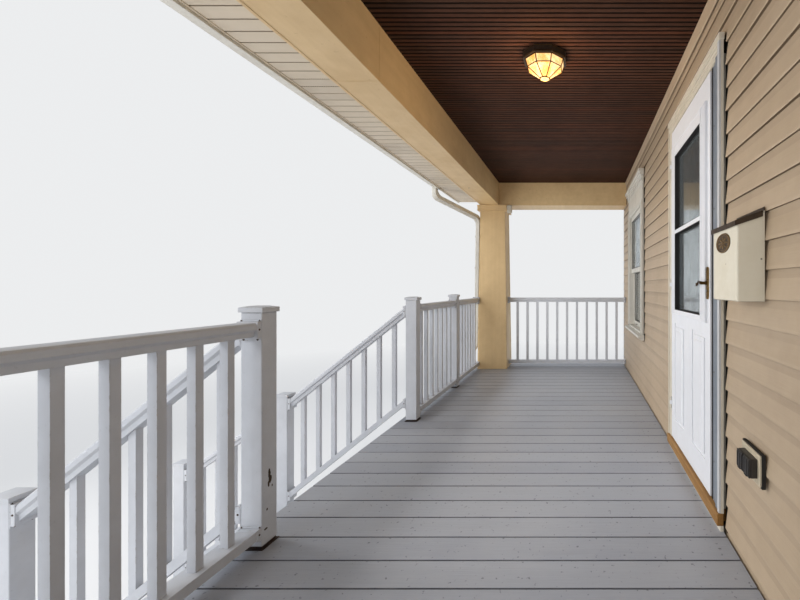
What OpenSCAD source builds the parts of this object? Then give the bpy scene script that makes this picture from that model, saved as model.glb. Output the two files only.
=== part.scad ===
// Front porch of a timber house, with the slice of house wall behind it.
// The origin is on the ground at the centre of the footprint. +Z is up, -Y is
// the street, +Y is the house, and X runs along the wall. "Out" is a distance
// measured from the face of the house wall towards the street.

/* [Stairs and deck] */
// Number of stair risers from the ground up to the deck
riser_n = 7; // [6:1:8]
// Height of one stair riser
riser_h = 192; // [175:1:200]
// Going of one stair, from riser to riser
stair_run = 254; // [235:1:290]
// Thickness of a stair tread
tread_t = 38; // [24:1:40]
// Clear width between the two newel posts at the head of the stairs
stair_clear = 1554; // [1300:1:1700]
// How far the treads run past the outer faces of the stair posts
tread_overrun = 26; // [10:1:60]
// Overhang of a tread or of the deck boards past the board below
nosing = 25; // [15:1:35]
// Thickness of the riser boards and of the deck fascia board
riser_t = 18; // [12:1:25]
// Thickness of a stair stringer
stringer_t = 40; // [35:1:60]
// Depth of a stringer below its notches, measured upright
stringer_depth = 190; // [140:5:230]
// Length of the deck along the house
deck_l = 6800; // [6500:10:7400]
// Depth of the deck from the house wall to its front edge
deck_d = 2050; // [2040:10:2300]
// Thickness of the deck boards
deck_t = 28; // [22:1:40]
// Width of a deck joist
joist_t = 38; // [35:1:50]
// Height of a deck joist
joist_h = 235; // [220:5:260]
// Spacing of the deck joists
joist_gap = 400; // [300:10:600]

/* [Piers and skirt] */
// Side of a corner pier
corner_pier_w = 440; // [380:10:500]
// Side of a pier at the stairs
stair_pier_w = 280; // [220:10:320]
// Width of an upright skirt board
skirt_board_w = 118; // [90:1:140]
// Largest gap between two skirt boards
skirt_gap = 14; // [8:1:20]
// Thickness of a skirt board
skirt_board_t = 18; // [12:1:25]
// Width of the rails that carry the skirt boards
skirt_rail_w = 90; // [60:1:120]
// Height of the skirt above the ground
skirt_lift = 40; // [20:5:80]

/* [Posts and rails] */
// Side of a square newel post
post_w = 86; // [76:1:100]
// Height of a newel post without its cap
post_h = 958; // [930:1:1050]
// Height of the foot post at the bottom of the stairs without its cap
foot_post_h = 990; // [960:1:1080]
// Overhang of a post cap on each side
cap_over = 7; // [3:1:12]
// Thickness of a post cap below its slopes
cap_t = 20; // [14:1:30]
// Height of the slopes of a post cap
cap_rise = 7; // [4:1:16]
// Distance from the front edge of the deck back to the middle of the front rail
rail_setback = 100; // [85:1:130]
// Distance from the middle of the porch to the middle of an intermediate post
mid_post_x = 1942; // [1800:1:2100]
// Height of the top of the handrail above the deck
rail_h = 920; // [860:1:940]
// Height of the moulded handrail
handrail_h = 58; // [50:1:75]
// Width of the moulded handrail
handrail_w = 80; // [70:1:84]
// Width of the bottom rail
foot_rail_w = 80; // [60:1:84]
// Thickness of the bottom rail
foot_rail_t = 38; // [30:1:45]
// Gap under the bottom rail
foot_rail_gap = 49; // [40:1:90]
// Side of a square baluster
baluster_w = 31; // [25:1:38]
// Largest gap between two balusters
baluster_gap = 106; // [80:1:120]
// Height of the stair handrail above the deck where it leaves the newel post
stair_rail_head_h = 915; // [880:1:930]
// Height of the upper handrail above the tread at the middle stair post
stair_rail_mid_h = 933; // [900:1:950]
// Height of the lower handrail above the same tread where it starts
stair_rail_low_h = 868; // [840:1:930]
// Height of the stair handrail above the ground at the foot post
stair_rail_foot_h = 944; // [900:1:980]
// Upright distance from the top of the stair handrail to the top of its bottom rail
stair_rail_span = 735; // [650:1:760]
// Tread, counted from the deck, that carries the middle stair post
stair_post_tread_n = 4; // [3:1:5]
// Distance from that tread's nosing back to the middle of the post
stair_post_setback = 95; // [60:1:140]
// Gap between the last tread's nosing and the foot post
foot_post_gap = 169; // [40:1:200]

/* [Columns and beams] */
// Distance from the end of the deck to the middle of a column
column_inset = 285; // [270:5:320]
// Distance from the front edge of the deck back to the middle of a column
column_setback = 305; // [260:1:330]
// Side of a column at the deck
column_foot_w = 380; // [360:2:480]
// Side of a column under its cap
column_head_w = 320; // [300:2:360]
// Side of a column's cap
column_cap_w = 380; // [372:2:400]
// Thickness of a column's cap
column_cap_h = 70; // [30:1:80]
// Height of the underside of the beams above the deck
beam_z = 2126; // [2080:1:2250]
// Height of the ceiling above the deck
ceiling_z = 2418; // [2380:1:2500]
// Thickness of the ceiling boards
ceiling_t = 15; // [10:1:20]
// How far the beams rise above the underside of the ceiling
beam_over = 22; // [18:1:26]
// Width of the front beam
beam_front_w = 238; // [220:2:300]
// Width of an end beam
beam_end_w = 315; // [280:1:340]
// Distance from the front edge of the deck back to the front face of the front beam
beam_setback = 152; // [110:1:180]

/* [Roof and gutter] */
// Height of the soffit above the underside of the beams
soffit_rise = 105; // [80:1:130]
// Thickness of the soffit
soffit_t = 12; // [8:1:16]
// Width of the soffit from the front beam to the fascia
soffit_w = 367; // [300:1:400]
// Thickness of the fascia board
fascia_t = 20; // [15:1:30]
// Height of the fascia board
fascia_h = 144; // [130:1:180]
// How far the fascia drops below the soffit
fascia_drop = 15; // [3:1:20]
// Rise of the roof for each unit of its run
roof_slope = 0.25; // [0.2:0.01:0.35]
// Upright thickness of the roof slab
roof_t = 42; // [35:1:60]
// Overhang of the roof slab past the fascia
roof_drip = 25; // [15:1:40]
// Overhang of the roof slab past each end
roof_rake = 30; // [10:1:60]
// Thickness of the panel that closes each end of the roof
end_panel_t = 20; // [15:1:30]
// Half length of the gutter
gutter_half = 2480; // [2300:10:2700]
// Height of the gutter
gutter_h = 120; // [108:1:125]
// Width of the gutter's floor
gutter_floor_w = 75; // [60:1:80]
// Width of the gutter at its lip
gutter_lip_w = 100; // [90:1:115]
// Thickness of the gutter's sheet
gutter_t = 3; // [2:0.5:4]
// Height of the gutter's floor above the fascia's lower edge
gutter_lift = 30; // [20:1:40]
// Width of the rectangular downspout along the house
spout_w = 76; // [60:1:80]
// Depth of the rectangular downspout out from the house
spout_d = 51; // [45:1:60]
// Gap between a downspout and the column, gutter end or deck that it passes
spout_gap = 4; // [3:1:10]
// Height above the deck at which the downspout reaches the column
spout_head_z = 1960; // [1850:10:2000]
// Height above the deck at which the downspout leaves the column
spout_tail_z = 300; // [200:10:500]
// Height above the deck at which the downspout has passed the deck's edge
spout_turn_z = 110; // [60:10:150]
// Reach of the downspout's foot away from the porch
spout_kick = 130; // [80:10:250]
// Height of the lower bend of the downspout above the ground
spout_foot_z = 150; // [120:10:250]
// Height of the downspout's outlet above the ground
spout_end_z = 60; // [50:5:100]

/* [House wall] */
// Thickness of the house wall
wall_t = 170; // [140:5:220]
// Distance from the end of the deck back to the end of the house wall
wall_inset = 100; // [80:5:200]
// Height of the house wall above the deck
wall_h = 3206; // [3100:1:3400]
// Height of the foundation wall above the ground
foundation_h = 1070; // [1040:10:1110]
// Thickness of the foundation wall
foundation_t = 240; // [200:10:300]
// Width of the corner boards
corner_board_w = 90; // [70:5:110]
// Thickness of the corner boards
corner_board_t = 12; // [8:1:20]

/* [Front door] */
// Distance from the middle of the porch to the middle of the door
door_x = 185.5; // [150:0.5:250]
// Width of the storm door
door_w = 813; // [780:1:860]
// Height of the top of the storm door above the deck
door_top = 2070; // [1980:1:2100]
// Height of the bottom of the storm door above the deck
door_bottom = 85; // [75:1:100]
// Thickness of the storm door
door_t = 38; // [32:1:45]
// Gap around the storm door
door_gap = 7; // [6:0.5:9]
// How far the storm door's face stands out of the wall's face
door_proud = 14; // [8:1:20]
// Width of the bar that carries the storm door's hinge
hinge_bar_w = 7; // [5:1:12]
// Width of the strip beside the storm door's latch edge
latch_strip_w = 77; // [60:1:140]
// How far the latch strip stands out of the wall's face
latch_strip_out = 6; // [0:1:10]
// Depth of the hinge bar and the latch strip behind the wall's face
strip_depth = 40; // [30:1:60]
// Radius of the storm door's hinge knuckles
knuckle_r = 6; // [5:0.5:7]
// Radius of the storm door's hinge pins
pin_r = 3; // [2.5:0.5:3]
// Height of one hinge knuckle
knuckle_h = 25; // [20:1:40]
// Width of the casing beside the door
door_casing_w = 60; // [50:1:100]
// Thickness of the casings
casing_t = 15; // [12:1:25]
// Thickness of the door jambs
jamb_t = 20; // [15:1:30]
// Height of the moulded head over the door
door_head_h = 85; // [80:1:120]
// Thickness of the wooden door sill
door_sill_t = 55; // [40:1:65]
// How far the door sill stands out of the wall's face
door_sill_out = 30; // [28:1:60]
// Thickness of the inner entry door
entry_t = 44; // [38:1:50]
// Distance from the wall's face back to the entry door
entry_back = 116; // [100:1:125]

/* [Storm door details] */
// Width of the storm door's stiles beside the window insert
stile_w = 44; // [36:1:60]
// Width of the insert's frame
insert_frame_w = 89; // [70:1:100]
// How far the insert's frame stands out of the door
insert_proud = 12; // [6:1:14]
// Height of the insert's lower edge above the deck
insert_bottom = 890; // [860:1:920]
// Height of the insert's upper edge above the deck
insert_top = 1950; // [1880:1:1980]
// Height of the insert's rail below the glass
insert_foot_h = 30; // [20:1:60]
// Height of the insert's rail above the glass
insert_head_h = 70; // [40:1:90]
// Height of the middle of the insert's bar above the deck
insert_bar_z = 1405; // [1300:1:1500]
// Width of the insert's bar
insert_bar_w = 22; // [18:1:40]
// Thickness of a sheet of glass
glass_t = 5; // [4:0.5:8]
// Width of one raised panel
panel_w = 240; // [220:1:280]
// Distance from the edge of the door to a panel
panel_margin = 81.5; // [70:0.5:110]
// Height of the panels' lower edge above the deck
panel_bottom = 220; // [200:1:300]
// Height of the panels' upper edge above the deck
panel_top = 833; // [780:1:860]
// Depth of the groove around a panel
panel_groove_d = 6; // [3:1:10]
// Width of the groove around a panel
panel_groove_w = 22; // [12:1:32]
// Height of the lever above the deck
lever_z = 1080; // [1000:1:1150]
// Distance from the edge of the door to the lever's spindle
lever_backset = 30; // [26:1:34]
// Height of the lever's back plate
lever_plate_h = 153; // [120:1:180]
// Width of the lever's back plate
lever_plate_w = 26; // [22:1:26]
// Thickness of the lever's back plate
lever_plate_t = 9; // [6:1:12]
// Length of the lever
lever_l = 95; // [80:1:120]
// Radius of the lever's spindle
spindle_r = 6; // [5:0.5:7]
// Radial gap between the spindle and the hole in the door
spindle_gap = 1; // [0.5:0.5:2]

/* [Windows] */
// Distance from the middle of the porch to the middle of each window
window_x = 2060; // [2000:5:2150]
// Width of the opening in the wall
window_w = 920; // [880:5:1000]
// Space between a window's frame and the wall, which the casing covers
window_play = 6; // [2:1:12]
// Height of the opening's lower edge above the deck
window_bottom = 600; // [560:5:760]
// Height of the opening's upper edge above the deck
window_top = 1895; // [1800:5:1950]
// Width of the window casing
window_casing_w = 90; // [70:1:110]
// Height of the plain board over the window
frieze_h = 215; // [150:1:240]
// Height of the moulded crown over that board
crown_h = 90; // [60:1:110]
// How far each step of a window's crown stands out beyond the one below
crown_step_out = 13; // [8:1:18]
// Height of the window sill
window_sill_h = 52; // [24:1:60]
// How far the window sill stands out of the wall's face
window_sill_out = 58; // [35:1:70]
// Width of the sash frames
sash_w = 52; // [40:1:65]
// Thickness of a sash
sash_t = 35; // [28:1:42]
// Depth of the reveal from the wall's face to the upper sash
sash_back = 5; // [3:1:35]

/* [Mailbox] */
// Distance from the middle of the porch to the middle of the mailbox
mailbox_x = 1018; // [960:1:1060]
// Width of the mailbox
mailbox_w = 247; // [200:1:280]
// Depth of the mailbox
mailbox_d = 97; // [85:1:120]
// Height of the mailbox's floor above the deck
mailbox_z = 1012; // [950:1:1100]
// Height of the mailbox at its back
mailbox_h = 306; // [260:1:340]
// How much lower the mailbox's front edge is than its back edge
mailbox_fall = 30; // [15:1:45]
// Thickness of the mailbox's sheet
mailbox_t = 3; // [2:0.5:4]
// Thickness of the mailbox's lid
lid_t = 4; // [3:0.5:6]
// Overhang of the lid at its front and sides
lid_over = 6; // [3:1:10]

/* [Outlet] */
// Distance from the middle of the porch to the middle of the outlet
outlet_x = 1065; // [1010:1:1110]
// Height of the middle of the outlet above the deck
outlet_z = 436; // [380:1:480]
// Width of the mounting block
outlet_block_w = 160; // [140:1:180]
// Height of the mounting block
outlet_block_h = 106; // [95:1:125]
// Thickness of the mounting block
outlet_block_t = 16; // [12:1:20]
// Width of the cover
outlet_cover_w = 112; // [100:1:125]
// Height of the cover
outlet_cover_h = 66; // [60:1:80]
// Depth of the cover without its flaps
outlet_cover_t = 24; // [18:1:30]
// Thickness of a flap
flap_t = 6; // [4:1:8]
// Gap between the two flaps
flap_gap = 6; // [5:0.5:8]

/* [Ceiling lamp] */
// Distance from the middle of the porch to the middle of the lamp
lamp_x = 88; // [0:1:150]
// Distance from the house wall to the middle of the lamp
lamp_out = 826; // [780:1:860]
// Radius of the lamp's eight sided base, to its corners
lamp_r = 131; // [110:1:150]
// Height of the lamp's base
lamp_base_h = 42; // [30:1:55]
// Height of the upper band of glass
lamp_band_h = 42; // [30:1:55]
// Height of the lower cone of glass
lamp_cone_h = 52; // [40:1:70]
// Radius of the upper band of glass at its top
lamp_glass_r = 118; // [100:1:122]
// Radius of the glass where the two bands meet
lamp_waist_r = 104; // [90:1:110]
// Radius of the small plate at the lamp's foot
lamp_foot_r = 30; // [20:1:40]
// Thickness of the lamp's glass
lamp_glass_t = 4; // [3:0.5:6]

/* [Hidden] */

$fn = 48;
tan_clad = [0.78, 0.66, 0.48];
siding_tan = [0.66, 0.57, 0.47];
paint_white = [0.93, 0.93, 0.92];
deck_grey = [0.52, 0.54, 0.58];
seat_gap = 0.3;
crown_step = 9;

deck_z = riser_n * riser_h;
newel_x = (stair_clear + post_w) / 2;
column_x = deck_l / 2 - column_inset;
wall_x = deck_l / 2 - wall_inset;
rail_out = deck_d - rail_setback;
column_out = deck_d - column_setback;
rim_out = deck_d - nosing - riser_t;
rim_x = deck_l / 2 - nosing - riser_t;
frame_z = deck_z - deck_t - joist_h;
tread_n = riser_n - 1;
last_nosing = deck_d + stair_run * tread_n;
stair_half = newel_x + post_w / 2 + tread_overrun;
mid_post_out = deck_d + stair_run * stair_post_tread_n - stair_post_setback;
foot_post_out = last_nosing + foot_post_gap + post_w / 2;
front_out = foot_post_out + post_w / 2 + cap_over;
wall_back = max(wall_t, foundation_t);
// The footprint's middle in Y is the origin
wall_y = (front_out - wall_back) / 2;
beam_top = ceiling_z + beam_over;
beam_end_out = column_x + beam_end_w / 2;
beam_front_out = deck_d - beam_setback;
beam_front_in = beam_front_out - beam_front_w;
soffit_z = beam_z + soffit_rise;
fascia_z = soffit_z - fascia_drop;
fascia_in = beam_front_out + soffit_w;
fascia_out = fascia_in + fascia_t;
fascia_top = fascia_z + fascia_h;
door_left = door_x - door_w / 2;
door_right = door_x + door_w / 2;
open_left = door_left - door_gap - hinge_bar_w;
open_right = door_right + door_gap + latch_strip_w;
open_top = deck_z + door_top + door_gap;
hinge_x = open_left + hinge_bar_w;
hinge_out = casing_t + knuckle_r - 1;
hinge_levels = [for (k = [0.11, 0.5, 0.89]) deck_z + door_bottom + k * (door_top - door_bottom)];

function tread_level(i) = deck_z - riser_h * i;
function riser_front(i) = deck_d - nosing + stair_run * (i - 1);
function roof_under(out) = fascia_top + (fascia_out - out) * roof_slope;
function column_half(z) = (column_foot_w
    + (column_head_w - column_foot_w) * z / (beam_z - column_cap_h)) / 2;
// Left edges of strips of width w that fill a to b with gaps of at most gap
function spread(a, b, w, gap) = let (n = ceil((b - a - gap) / (w + gap)),
    g = (b - a - n * w) / (n + 1)) [for (i = [0 : n - 1]) a + g + i * (w + g)];

// A box from its X, out and Z limits
module block(x0, x1, out0, out1, z0, z1)
    translate([x0, wall_y - out1, z0]) cube([x1 - x0, out1 - out0, z1 - z0]);

// A section drawn as [-out, z], carried along X
module along_x(x0, x1)
    translate([x0, wall_y, 0]) rotate([90, 0, 90]) linear_extrude(x1 - x0) children();

// A section drawn as [x, z], carried outwards
module outwards(out0, out1)
    translate([0, wall_y - out0, 0]) rotate([90, 0, 0]) linear_extrude(out1 - out0)
        children();

module both_sides() {
    children();
    mirror([1, 0, 0]) children();
}

module foundation_wall() color("darkgray")
    block(-wall_x, wall_x, -foundation_t, 0, 0, foundation_h);

module piers() color("tan") both_sides() {
    block(column_x - corner_pier_w / 2, column_x + corner_pier_w / 2,
        column_out - corner_pier_w / 2, column_out + corner_pier_w / 2, 0, frame_z);
    block(newel_x - stair_pier_w / 2, newel_x + stair_pier_w / 2,
        rim_out - stair_pier_w, rim_out, 0, frame_z);
}

// Joists run along the house and rest on cross beams at the piers
module deck_frame() color("burlywood") {
    top = deck_z - deck_t;
    n = ceil((rim_out - joist_t) / joist_gap);
    for (i = [0 : n]) translate([0, -i * (rim_out - joist_t) / n, 0])
        block(-rim_x, rim_x, 0, joist_t, frame_z, top);
    both_sides() for (x = [rim_x - joist_t, newel_x - joist_t / 2])
        block(x, x + joist_t, 0, rim_out, frame_z, top);
    block(-newel_x + stair_pier_w / 2, newel_x - stair_pier_w / 2,
        rim_out - joist_t, rim_out, tread_level(1) - tread_t - stringer_depth, frame_z);
}

module deck_floor() color(deck_grey)
    block(-deck_l / 2, deck_l / 2, 0, deck_d, deck_z - deck_t, deck_z);

// The fascia board ends level with the underside of the first tread
module deck_fascia() color(paint_white) {
    z0 = tread_level(1) - tread_t;
    z1 = deck_z - deck_t;
    block(-rim_x - riser_t, rim_x + riser_t, rim_out, rim_out + riser_t, z0, z1);
    both_sides() block(rim_x, rim_x + riser_t, 0, rim_out, z0, z1);
}

// A framed panel of upright boards, drawn in a plane as [across, up]
module skirt_face(a, b) {
    translate([a, skirt_lift]) square([b - a, skirt_rail_w]);
    translate([a, frame_z - skirt_rail_w]) square([b - a, skirt_rail_w]);
    for (x = spread(a, b, skirt_board_w, skirt_gap))
        translate([x, skirt_lift]) square([skirt_board_w, frame_z - skirt_lift]);
}

module skirt_front() color(paint_white) both_sides()
    outwards(rim_out - skirt_board_t, rim_out)
        skirt_face(newel_x + stair_pier_w / 2, column_x + corner_pier_w / 2);

module skirt_ends() color(paint_white) both_sides()
    translate([column_x + corner_pier_w / 2 - skirt_board_t, 0, 0])
        along_x(0, skirt_board_t)
            mirror([1, 0]) skirt_face(0, column_out - corner_pier_w / 2);

module stringer_section() polygon(concat(
    [for (i = [1 : tread_n]) for (k = [0, 1])
        [-(riser_front(i + k) - riser_t), tread_level(i) - tread_t]],
    [[-(riser_front(tread_n + 1) - riser_t), 0],
     [-(riser_front(tread_n + 1) - riser_t) + (stringer_depth + riser_h
        - tread_t) * stair_run / riser_h - stair_run, 0],
     [-(riser_front(1) - riser_t), tread_level(1) - tread_t - stringer_depth]]));

module stair_stringers() color("burlywood")
    for (x = [-stair_half + stringer_t, 0, stair_half - stringer_t])
        along_x(x - stringer_t / 2, x + stringer_t / 2) stringer_section();

module stair_treads() color(deck_grey) for (i = [1 : tread_n])
    block(-stair_half, stair_half, riser_front(i), deck_d + stair_run * i,
        tread_level(i) - tread_t, tread_level(i));

module stair_risers() color(paint_white) for (i = [2 : riser_n])
    block(-stair_half, stair_half, riser_front(i) - riser_t, riser_front(i),
        max(0, tread_level(i) - tread_t), tread_level(i - 1) - tread_t);

module post(x, out, z, h) translate([x, wall_y - out, z]) {
    translate([-post_w / 2, -post_w / 2, 0]) cube([post_w, post_w, h]);
    cap_w = post_w + 2 * cap_over;
    translate([-cap_w / 2, -cap_w / 2, h]) cube([cap_w, cap_w, cap_t]);
    translate([0, 0, h + cap_t]) linear_extrude(cap_rise, scale = 0.2)
        square(cap_w, center = true);
}

module deck_posts() color(paint_white) both_sides() for (x = [newel_x, mid_post_x])
    post(x, rail_out, deck_z, post_h);

module stair_posts() color(paint_white) both_sides() {
    post(newel_x, mid_post_out, tread_level(stair_post_tread_n), post_h);
    post(newel_x, foot_post_out, 0, foot_post_h);
}

// The moulded handrail, drawn with its underside on the X axis
module handrail_section() {
    w = handrail_w / 2;
    h = handrail_h;
    polygon([[-w * 0.72, 0], [w * 0.72, 0], [w * 0.76, h * 0.34], [w, h * 0.5],
        [w, h * 0.82], [w * 0.84, h * 0.95], [w * 0.5, h], [-w * 0.5, h],
        [-w * 0.84, h * 0.95], [-w, h * 0.82], [-w, h * 0.5], [-w * 0.76, h * 0.34]]);
}

// A level section of railing along X, with its middle on Y = 0
module rail_section(x0, x1) {
    foot_top = foot_rail_gap + foot_rail_t;
    translate([x0, 0, rail_h - handrail_h]) rotate([90, 0, 90])
        linear_extrude(x1 - x0) handrail_section();
    translate([x0, -foot_rail_w / 2, foot_rail_gap])
        cube([x1 - x0, foot_rail_w, foot_rail_t]);
    for (x = spread(x0, x1, baluster_w, baluster_gap))
        translate([x, -baluster_w / 2, foot_top])
            cube([baluster_w, baluster_w, rail_h - handrail_h - foot_top]);
}

module rail_front() translate([0, wall_y - rail_out, deck_z]) {
    rail_section(newel_x + post_w / 2, mid_post_x - post_w / 2);
    rail_section(mid_post_x + post_w / 2, column_x - column_half(foot_rail_gap));
}

module rail_front_left() color(paint_white) mirror([1, 0, 0]) rail_front();

module rail_front_right() color(paint_white) rail_front();

module rail_ends() color(paint_white) both_sides() translate([column_x, wall_y, deck_z])
    rotate([0, 0, -90]) rail_section(0, column_out - column_half(foot_rail_gap));

// A sloping bar whose top runs from [out0, z0] to [out1, z1], with upright ends
module sloping(out0, z0, out1, z1, depth) intersection() {
    reach = out1 - out0;
    slope = atan2(z0 - z1, reach);
    block(newel_x - post_w, newel_x + post_w, out0, out1,
        z1 - depth * 3, z0 + depth * 3);
    translate([newel_x, wall_y - out0, z0]) rotate([slope, 0, 0])
        translate([0, reach / 10, -depth]) rotate([90, 0, 0])
            linear_extrude(reach * 1.6) children();
}

module stair_section(out0, z0, out1, z1) {
    fall = (z0 - z1) / (out1 - out0);
    depth = handrail_h * sqrt(1 + fall * fall);
    sloping(out0, z0, out1, z1, handrail_h) handrail_section();
    sloping(out0, z0 - stair_rail_span, out1, z1 - stair_rail_span, foot_rail_t)
        translate([-foot_rail_w / 2, 0]) square([foot_rail_w, foot_rail_t]);
    for (out = spread(out0, out1, baluster_w, baluster_gap)) {
        line = z0 - (out + baluster_w / 2 - out0) * fall;
        bite = baluster_w * fall * 0.8;
        block(newel_x - baluster_w / 2, newel_x + baluster_w / 2,
            out, out + baluster_w, line - stair_rail_span - bite, line - depth + bite);
    }
}

module stair_rail() {
    tread_z = tread_level(stair_post_tread_n);
    stair_section(rail_out + post_w / 2, deck_z + stair_rail_head_h,
        mid_post_out - post_w / 2, tread_z + stair_rail_mid_h);
    stair_section(mid_post_out + post_w / 2, tread_z + stair_rail_low_h,
        foot_post_out - post_w / 2, stair_rail_foot_h);
}

module stair_rail_left() color(paint_white) mirror([1, 0, 0]) stair_rail();

module stair_rail_right() color(paint_white) stair_rail();

module column() translate([column_x, wall_y - column_out, deck_z]) {
    shaft_h = beam_z - column_cap_h;
    linear_extrude(shaft_h, scale = column_head_w / column_foot_w)
        square(column_foot_w, center = true);
    translate([-column_cap_w / 2, -column_cap_w / 2, shaft_h])
        cube([column_cap_w, column_cap_w, column_cap_h]);
}

module column_left() color(tan_clad) mirror([1, 0, 0]) column();

module column_right() color(tan_clad) column();

module beam_front() color(tan_clad)
    block(-beam_end_out, beam_end_out, beam_front_in, beam_front_out,
        deck_z + beam_z, deck_z + beam_top);

module beam_ends() color(tan_clad) both_sides()
    block(beam_end_out - beam_end_w, beam_end_out, 0, beam_front_in,
        deck_z + beam_z, deck_z + beam_top);

module ceiling_panel() color([0.2, 0.11, 0.07])
    block(-beam_end_out + beam_end_w, beam_end_out - beam_end_w, 0, beam_front_in,
        deck_z + ceiling_z, deck_z + ceiling_z + ceiling_t);

module roof_slab() color([0.25, 0.24, 0.24])
    along_x(-beam_end_out - roof_rake, beam_end_out + roof_rake)
        polygon([for (p = [[0, 0], [fascia_out + roof_drip, 0],
            [fascia_out + roof_drip, roof_t], [0, roof_t]])
            [-p[0], deck_z + roof_under(p[0]) + p[1]]]);

module roof_end_panels() color(siding_tan) both_sides()
    along_x(beam_end_out - end_panel_t, beam_end_out)
        polygon([for (p = [[0, beam_top], [beam_front_out, beam_top],
            [beam_front_out, soffit_z + soffit_t], [fascia_in, soffit_z + soffit_t],
            [fascia_in, roof_under(fascia_in)], [0, roof_under(0)]])
            [-p[0], deck_z + p[1]]]);

module eave_soffit() color(paint_white)
    block(-beam_end_out, beam_end_out, beam_front_out, fascia_in,
        deck_z + soffit_z, deck_z + soffit_z + soffit_t);

module eave_fascia() color(paint_white)
    along_x(-beam_end_out, beam_end_out)
        polygon([for (p = [[fascia_in, fascia_z], [fascia_out, fascia_z],
            [fascia_out, roof_under(fascia_out)], [fascia_in, roof_under(fascia_in)]])
            [-p[0], deck_z + p[1]]]);

// The gutter's back edge stays under the roof slab, which drips into it
module gutter_section(t) {
    back = fascia_h - gutter_lift - roof_drip * roof_slope - spout_gap;
    polygon([[-t, t], [-gutter_floor_w + t, t], [-gutter_floor_w + t, gutter_h * 0.45],
        [-gutter_lip_w + t, gutter_h * 0.8], [-gutter_lip_w + t, gutter_h + t],
        [-gutter_lip_w * 0.7, back + t], [-t, back + t]]);
}

module gutter() color(paint_white) translate([0, -fascia_out, deck_z + fascia_z + gutter_lift]) {
    along_x(-gutter_half, gutter_half) difference() {
        gutter_section(0);
        gutter_section(gutter_t);
    }
    both_sides() along_x(gutter_half - gutter_t, gutter_half) gutter_section(0);
}

// Corners of the downspout's route as [x, out, z], from the gutter to the ground
spout_x = gutter_half - gutter_t - spout_w / 2;
spout_out = fascia_out + (gutter_floor_w + spout_d) / 4 + spout_gap;
spout_run_x = column_x - (column_head_w - spout_w) / 2 - 2 * spout_gap;
spout_clear = deck_d + spout_d / 2 + 2 * spout_gap;
function spout_at(z) = column_out + column_half(z) + spout_d / 2 + spout_gap;
spout_path = [
    [spout_x, spout_out, deck_z + fascia_z + gutter_lift],
    [spout_x, spout_out, deck_z + beam_z + spout_gap],
    [spout_run_x, spout_at(spout_head_z), deck_z + spout_head_z],
    [spout_run_x, spout_at(spout_tail_z), deck_z + spout_tail_z],
    [spout_run_x, spout_clear, deck_z + spout_turn_z],
    [spout_run_x, spout_clear, spout_foot_z],
    [spout_run_x, spout_clear + spout_kick, spout_end_z]];

// Slides a point along a direction onto the plane through c with normal n
function slide_to(p, way, c, n) = p + way * ((c - p) * n) / (way * n);
function unit(v) = v / norm(v);
function leg(route, i) = unit(route[i] - route[i - 1]);
function mitre(route, i) = i == len(route) - 1 ? leg(route, i)
    : unit(leg(route, i) + leg(route, i + 1));
function mitred_rings(route, ring, i = 1) = i == len(route) ? [ring]
    : concat([ring], mitred_rings(route,
        [for (p = ring) slide_to(p, leg(route, i), route[i], mitre(route, i))], i + 1));

// A bar of rectangular section that follows a route of mitred legs downwards
module mitred_bar(route, w, d) {
    start = [for (c = [[-1, -1], [1, -1], [1, 1], [-1, 1]])
        route[0] + [c[0] * w / 2, c[1] * d / 2, 0]];
    n = len(route) - 1;
    polyhedron([for (ring = mitred_rings(route, start)) each ring],
        concat([[3, 2, 1, 0], [for (k = [0 : 3]) 4 * n + k]],
            [for (i = [0 : n - 1]) for (k = [0 : 3])
                [4 * i + k, 4 * i + (k + 1) % 4, 4 * i + 4 + (k + 1) % 4, 4 * i + 4 + k]]));
}

module downspouts() color(paint_white) both_sides()
    mitred_bar([for (p = spout_path) [p[0], wall_y - p[1], p[2]]], spout_w, spout_d);

// A stretch of house wall with a window opening in it
module wall_with_window(x0, x1) difference() {
    block(x0, x1, -wall_t, 0, foundation_h, deck_z + wall_h);
    side = window_w / 2 + window_play;
    block(window_x - side, window_x + side, -wall_t - 1, 1,
        deck_z + window_bottom - window_play, deck_z + window_top + window_play);
}

module wall_left() color(siding_tan) mirror([1, 0, 0])
    wall_with_window(jamb_t - open_left, wall_x);

module wall_right() color(siding_tan) wall_with_window(open_right + jamb_t, wall_x);

// The wall below the door sill and above the door
module wall_door_bay() color(siding_tan)
    for (z = [[foundation_h, deck_z + sill_foot], [open_top + jamb_t, deck_z + wall_h]])
        block(open_left - jamb_t, open_right + jamb_t, -wall_t, 0, z[0], z[1]);

module corner_boards() color(paint_white) both_sides() {
    side = wall_x + corner_board_t;
    block(wall_x, side, -corner_board_w, 0, foundation_h, deck_z + wall_h);
    block(wall_x - corner_board_w, side, 0, corner_board_t,
        deck_z + roof_under(0) + roof_t, deck_z + wall_h);
}

module ring(w, z0, z1, edge) difference() {
    translate([-w / 2, z0]) square([w, z1 - z0]);
    translate([-w / 2 + edge, z0 + edge]) square([w - 2 * edge, z1 - z0 - 2 * edge]);
}

// One window's frame, casing, crown and sill, with its middle on X = 0
module window_casing() {
    side = window_w / 2 + window_casing_w;
    bottom = deck_z + window_bottom;
    top = deck_z + window_top;
    outwards(-wall_t, 0) ring(window_w, bottom, top, jamb_t);
    outwards(0, casing_t) difference() {
        translate([-side, bottom]) square([2 * side, top + frieze_h - bottom]);
        translate([-window_w / 2 + jamb_t, bottom + jamb_t])
            square([window_w - 2 * jamb_t, top - bottom - 2 * jamb_t]);
    }
    block(-side - 3 * crown_step, side + 3 * crown_step, 0, window_sill_out,
        bottom - window_sill_h, bottom);
    for (i = [1 : 3]) block(-side - crown_step * i, side + crown_step * i,
        0, casing_t + crown_step_out * i,
        top + frieze_h + crown_h * (i - 1) / 3, top + frieze_h + crown_h * i / 3);
}

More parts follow.
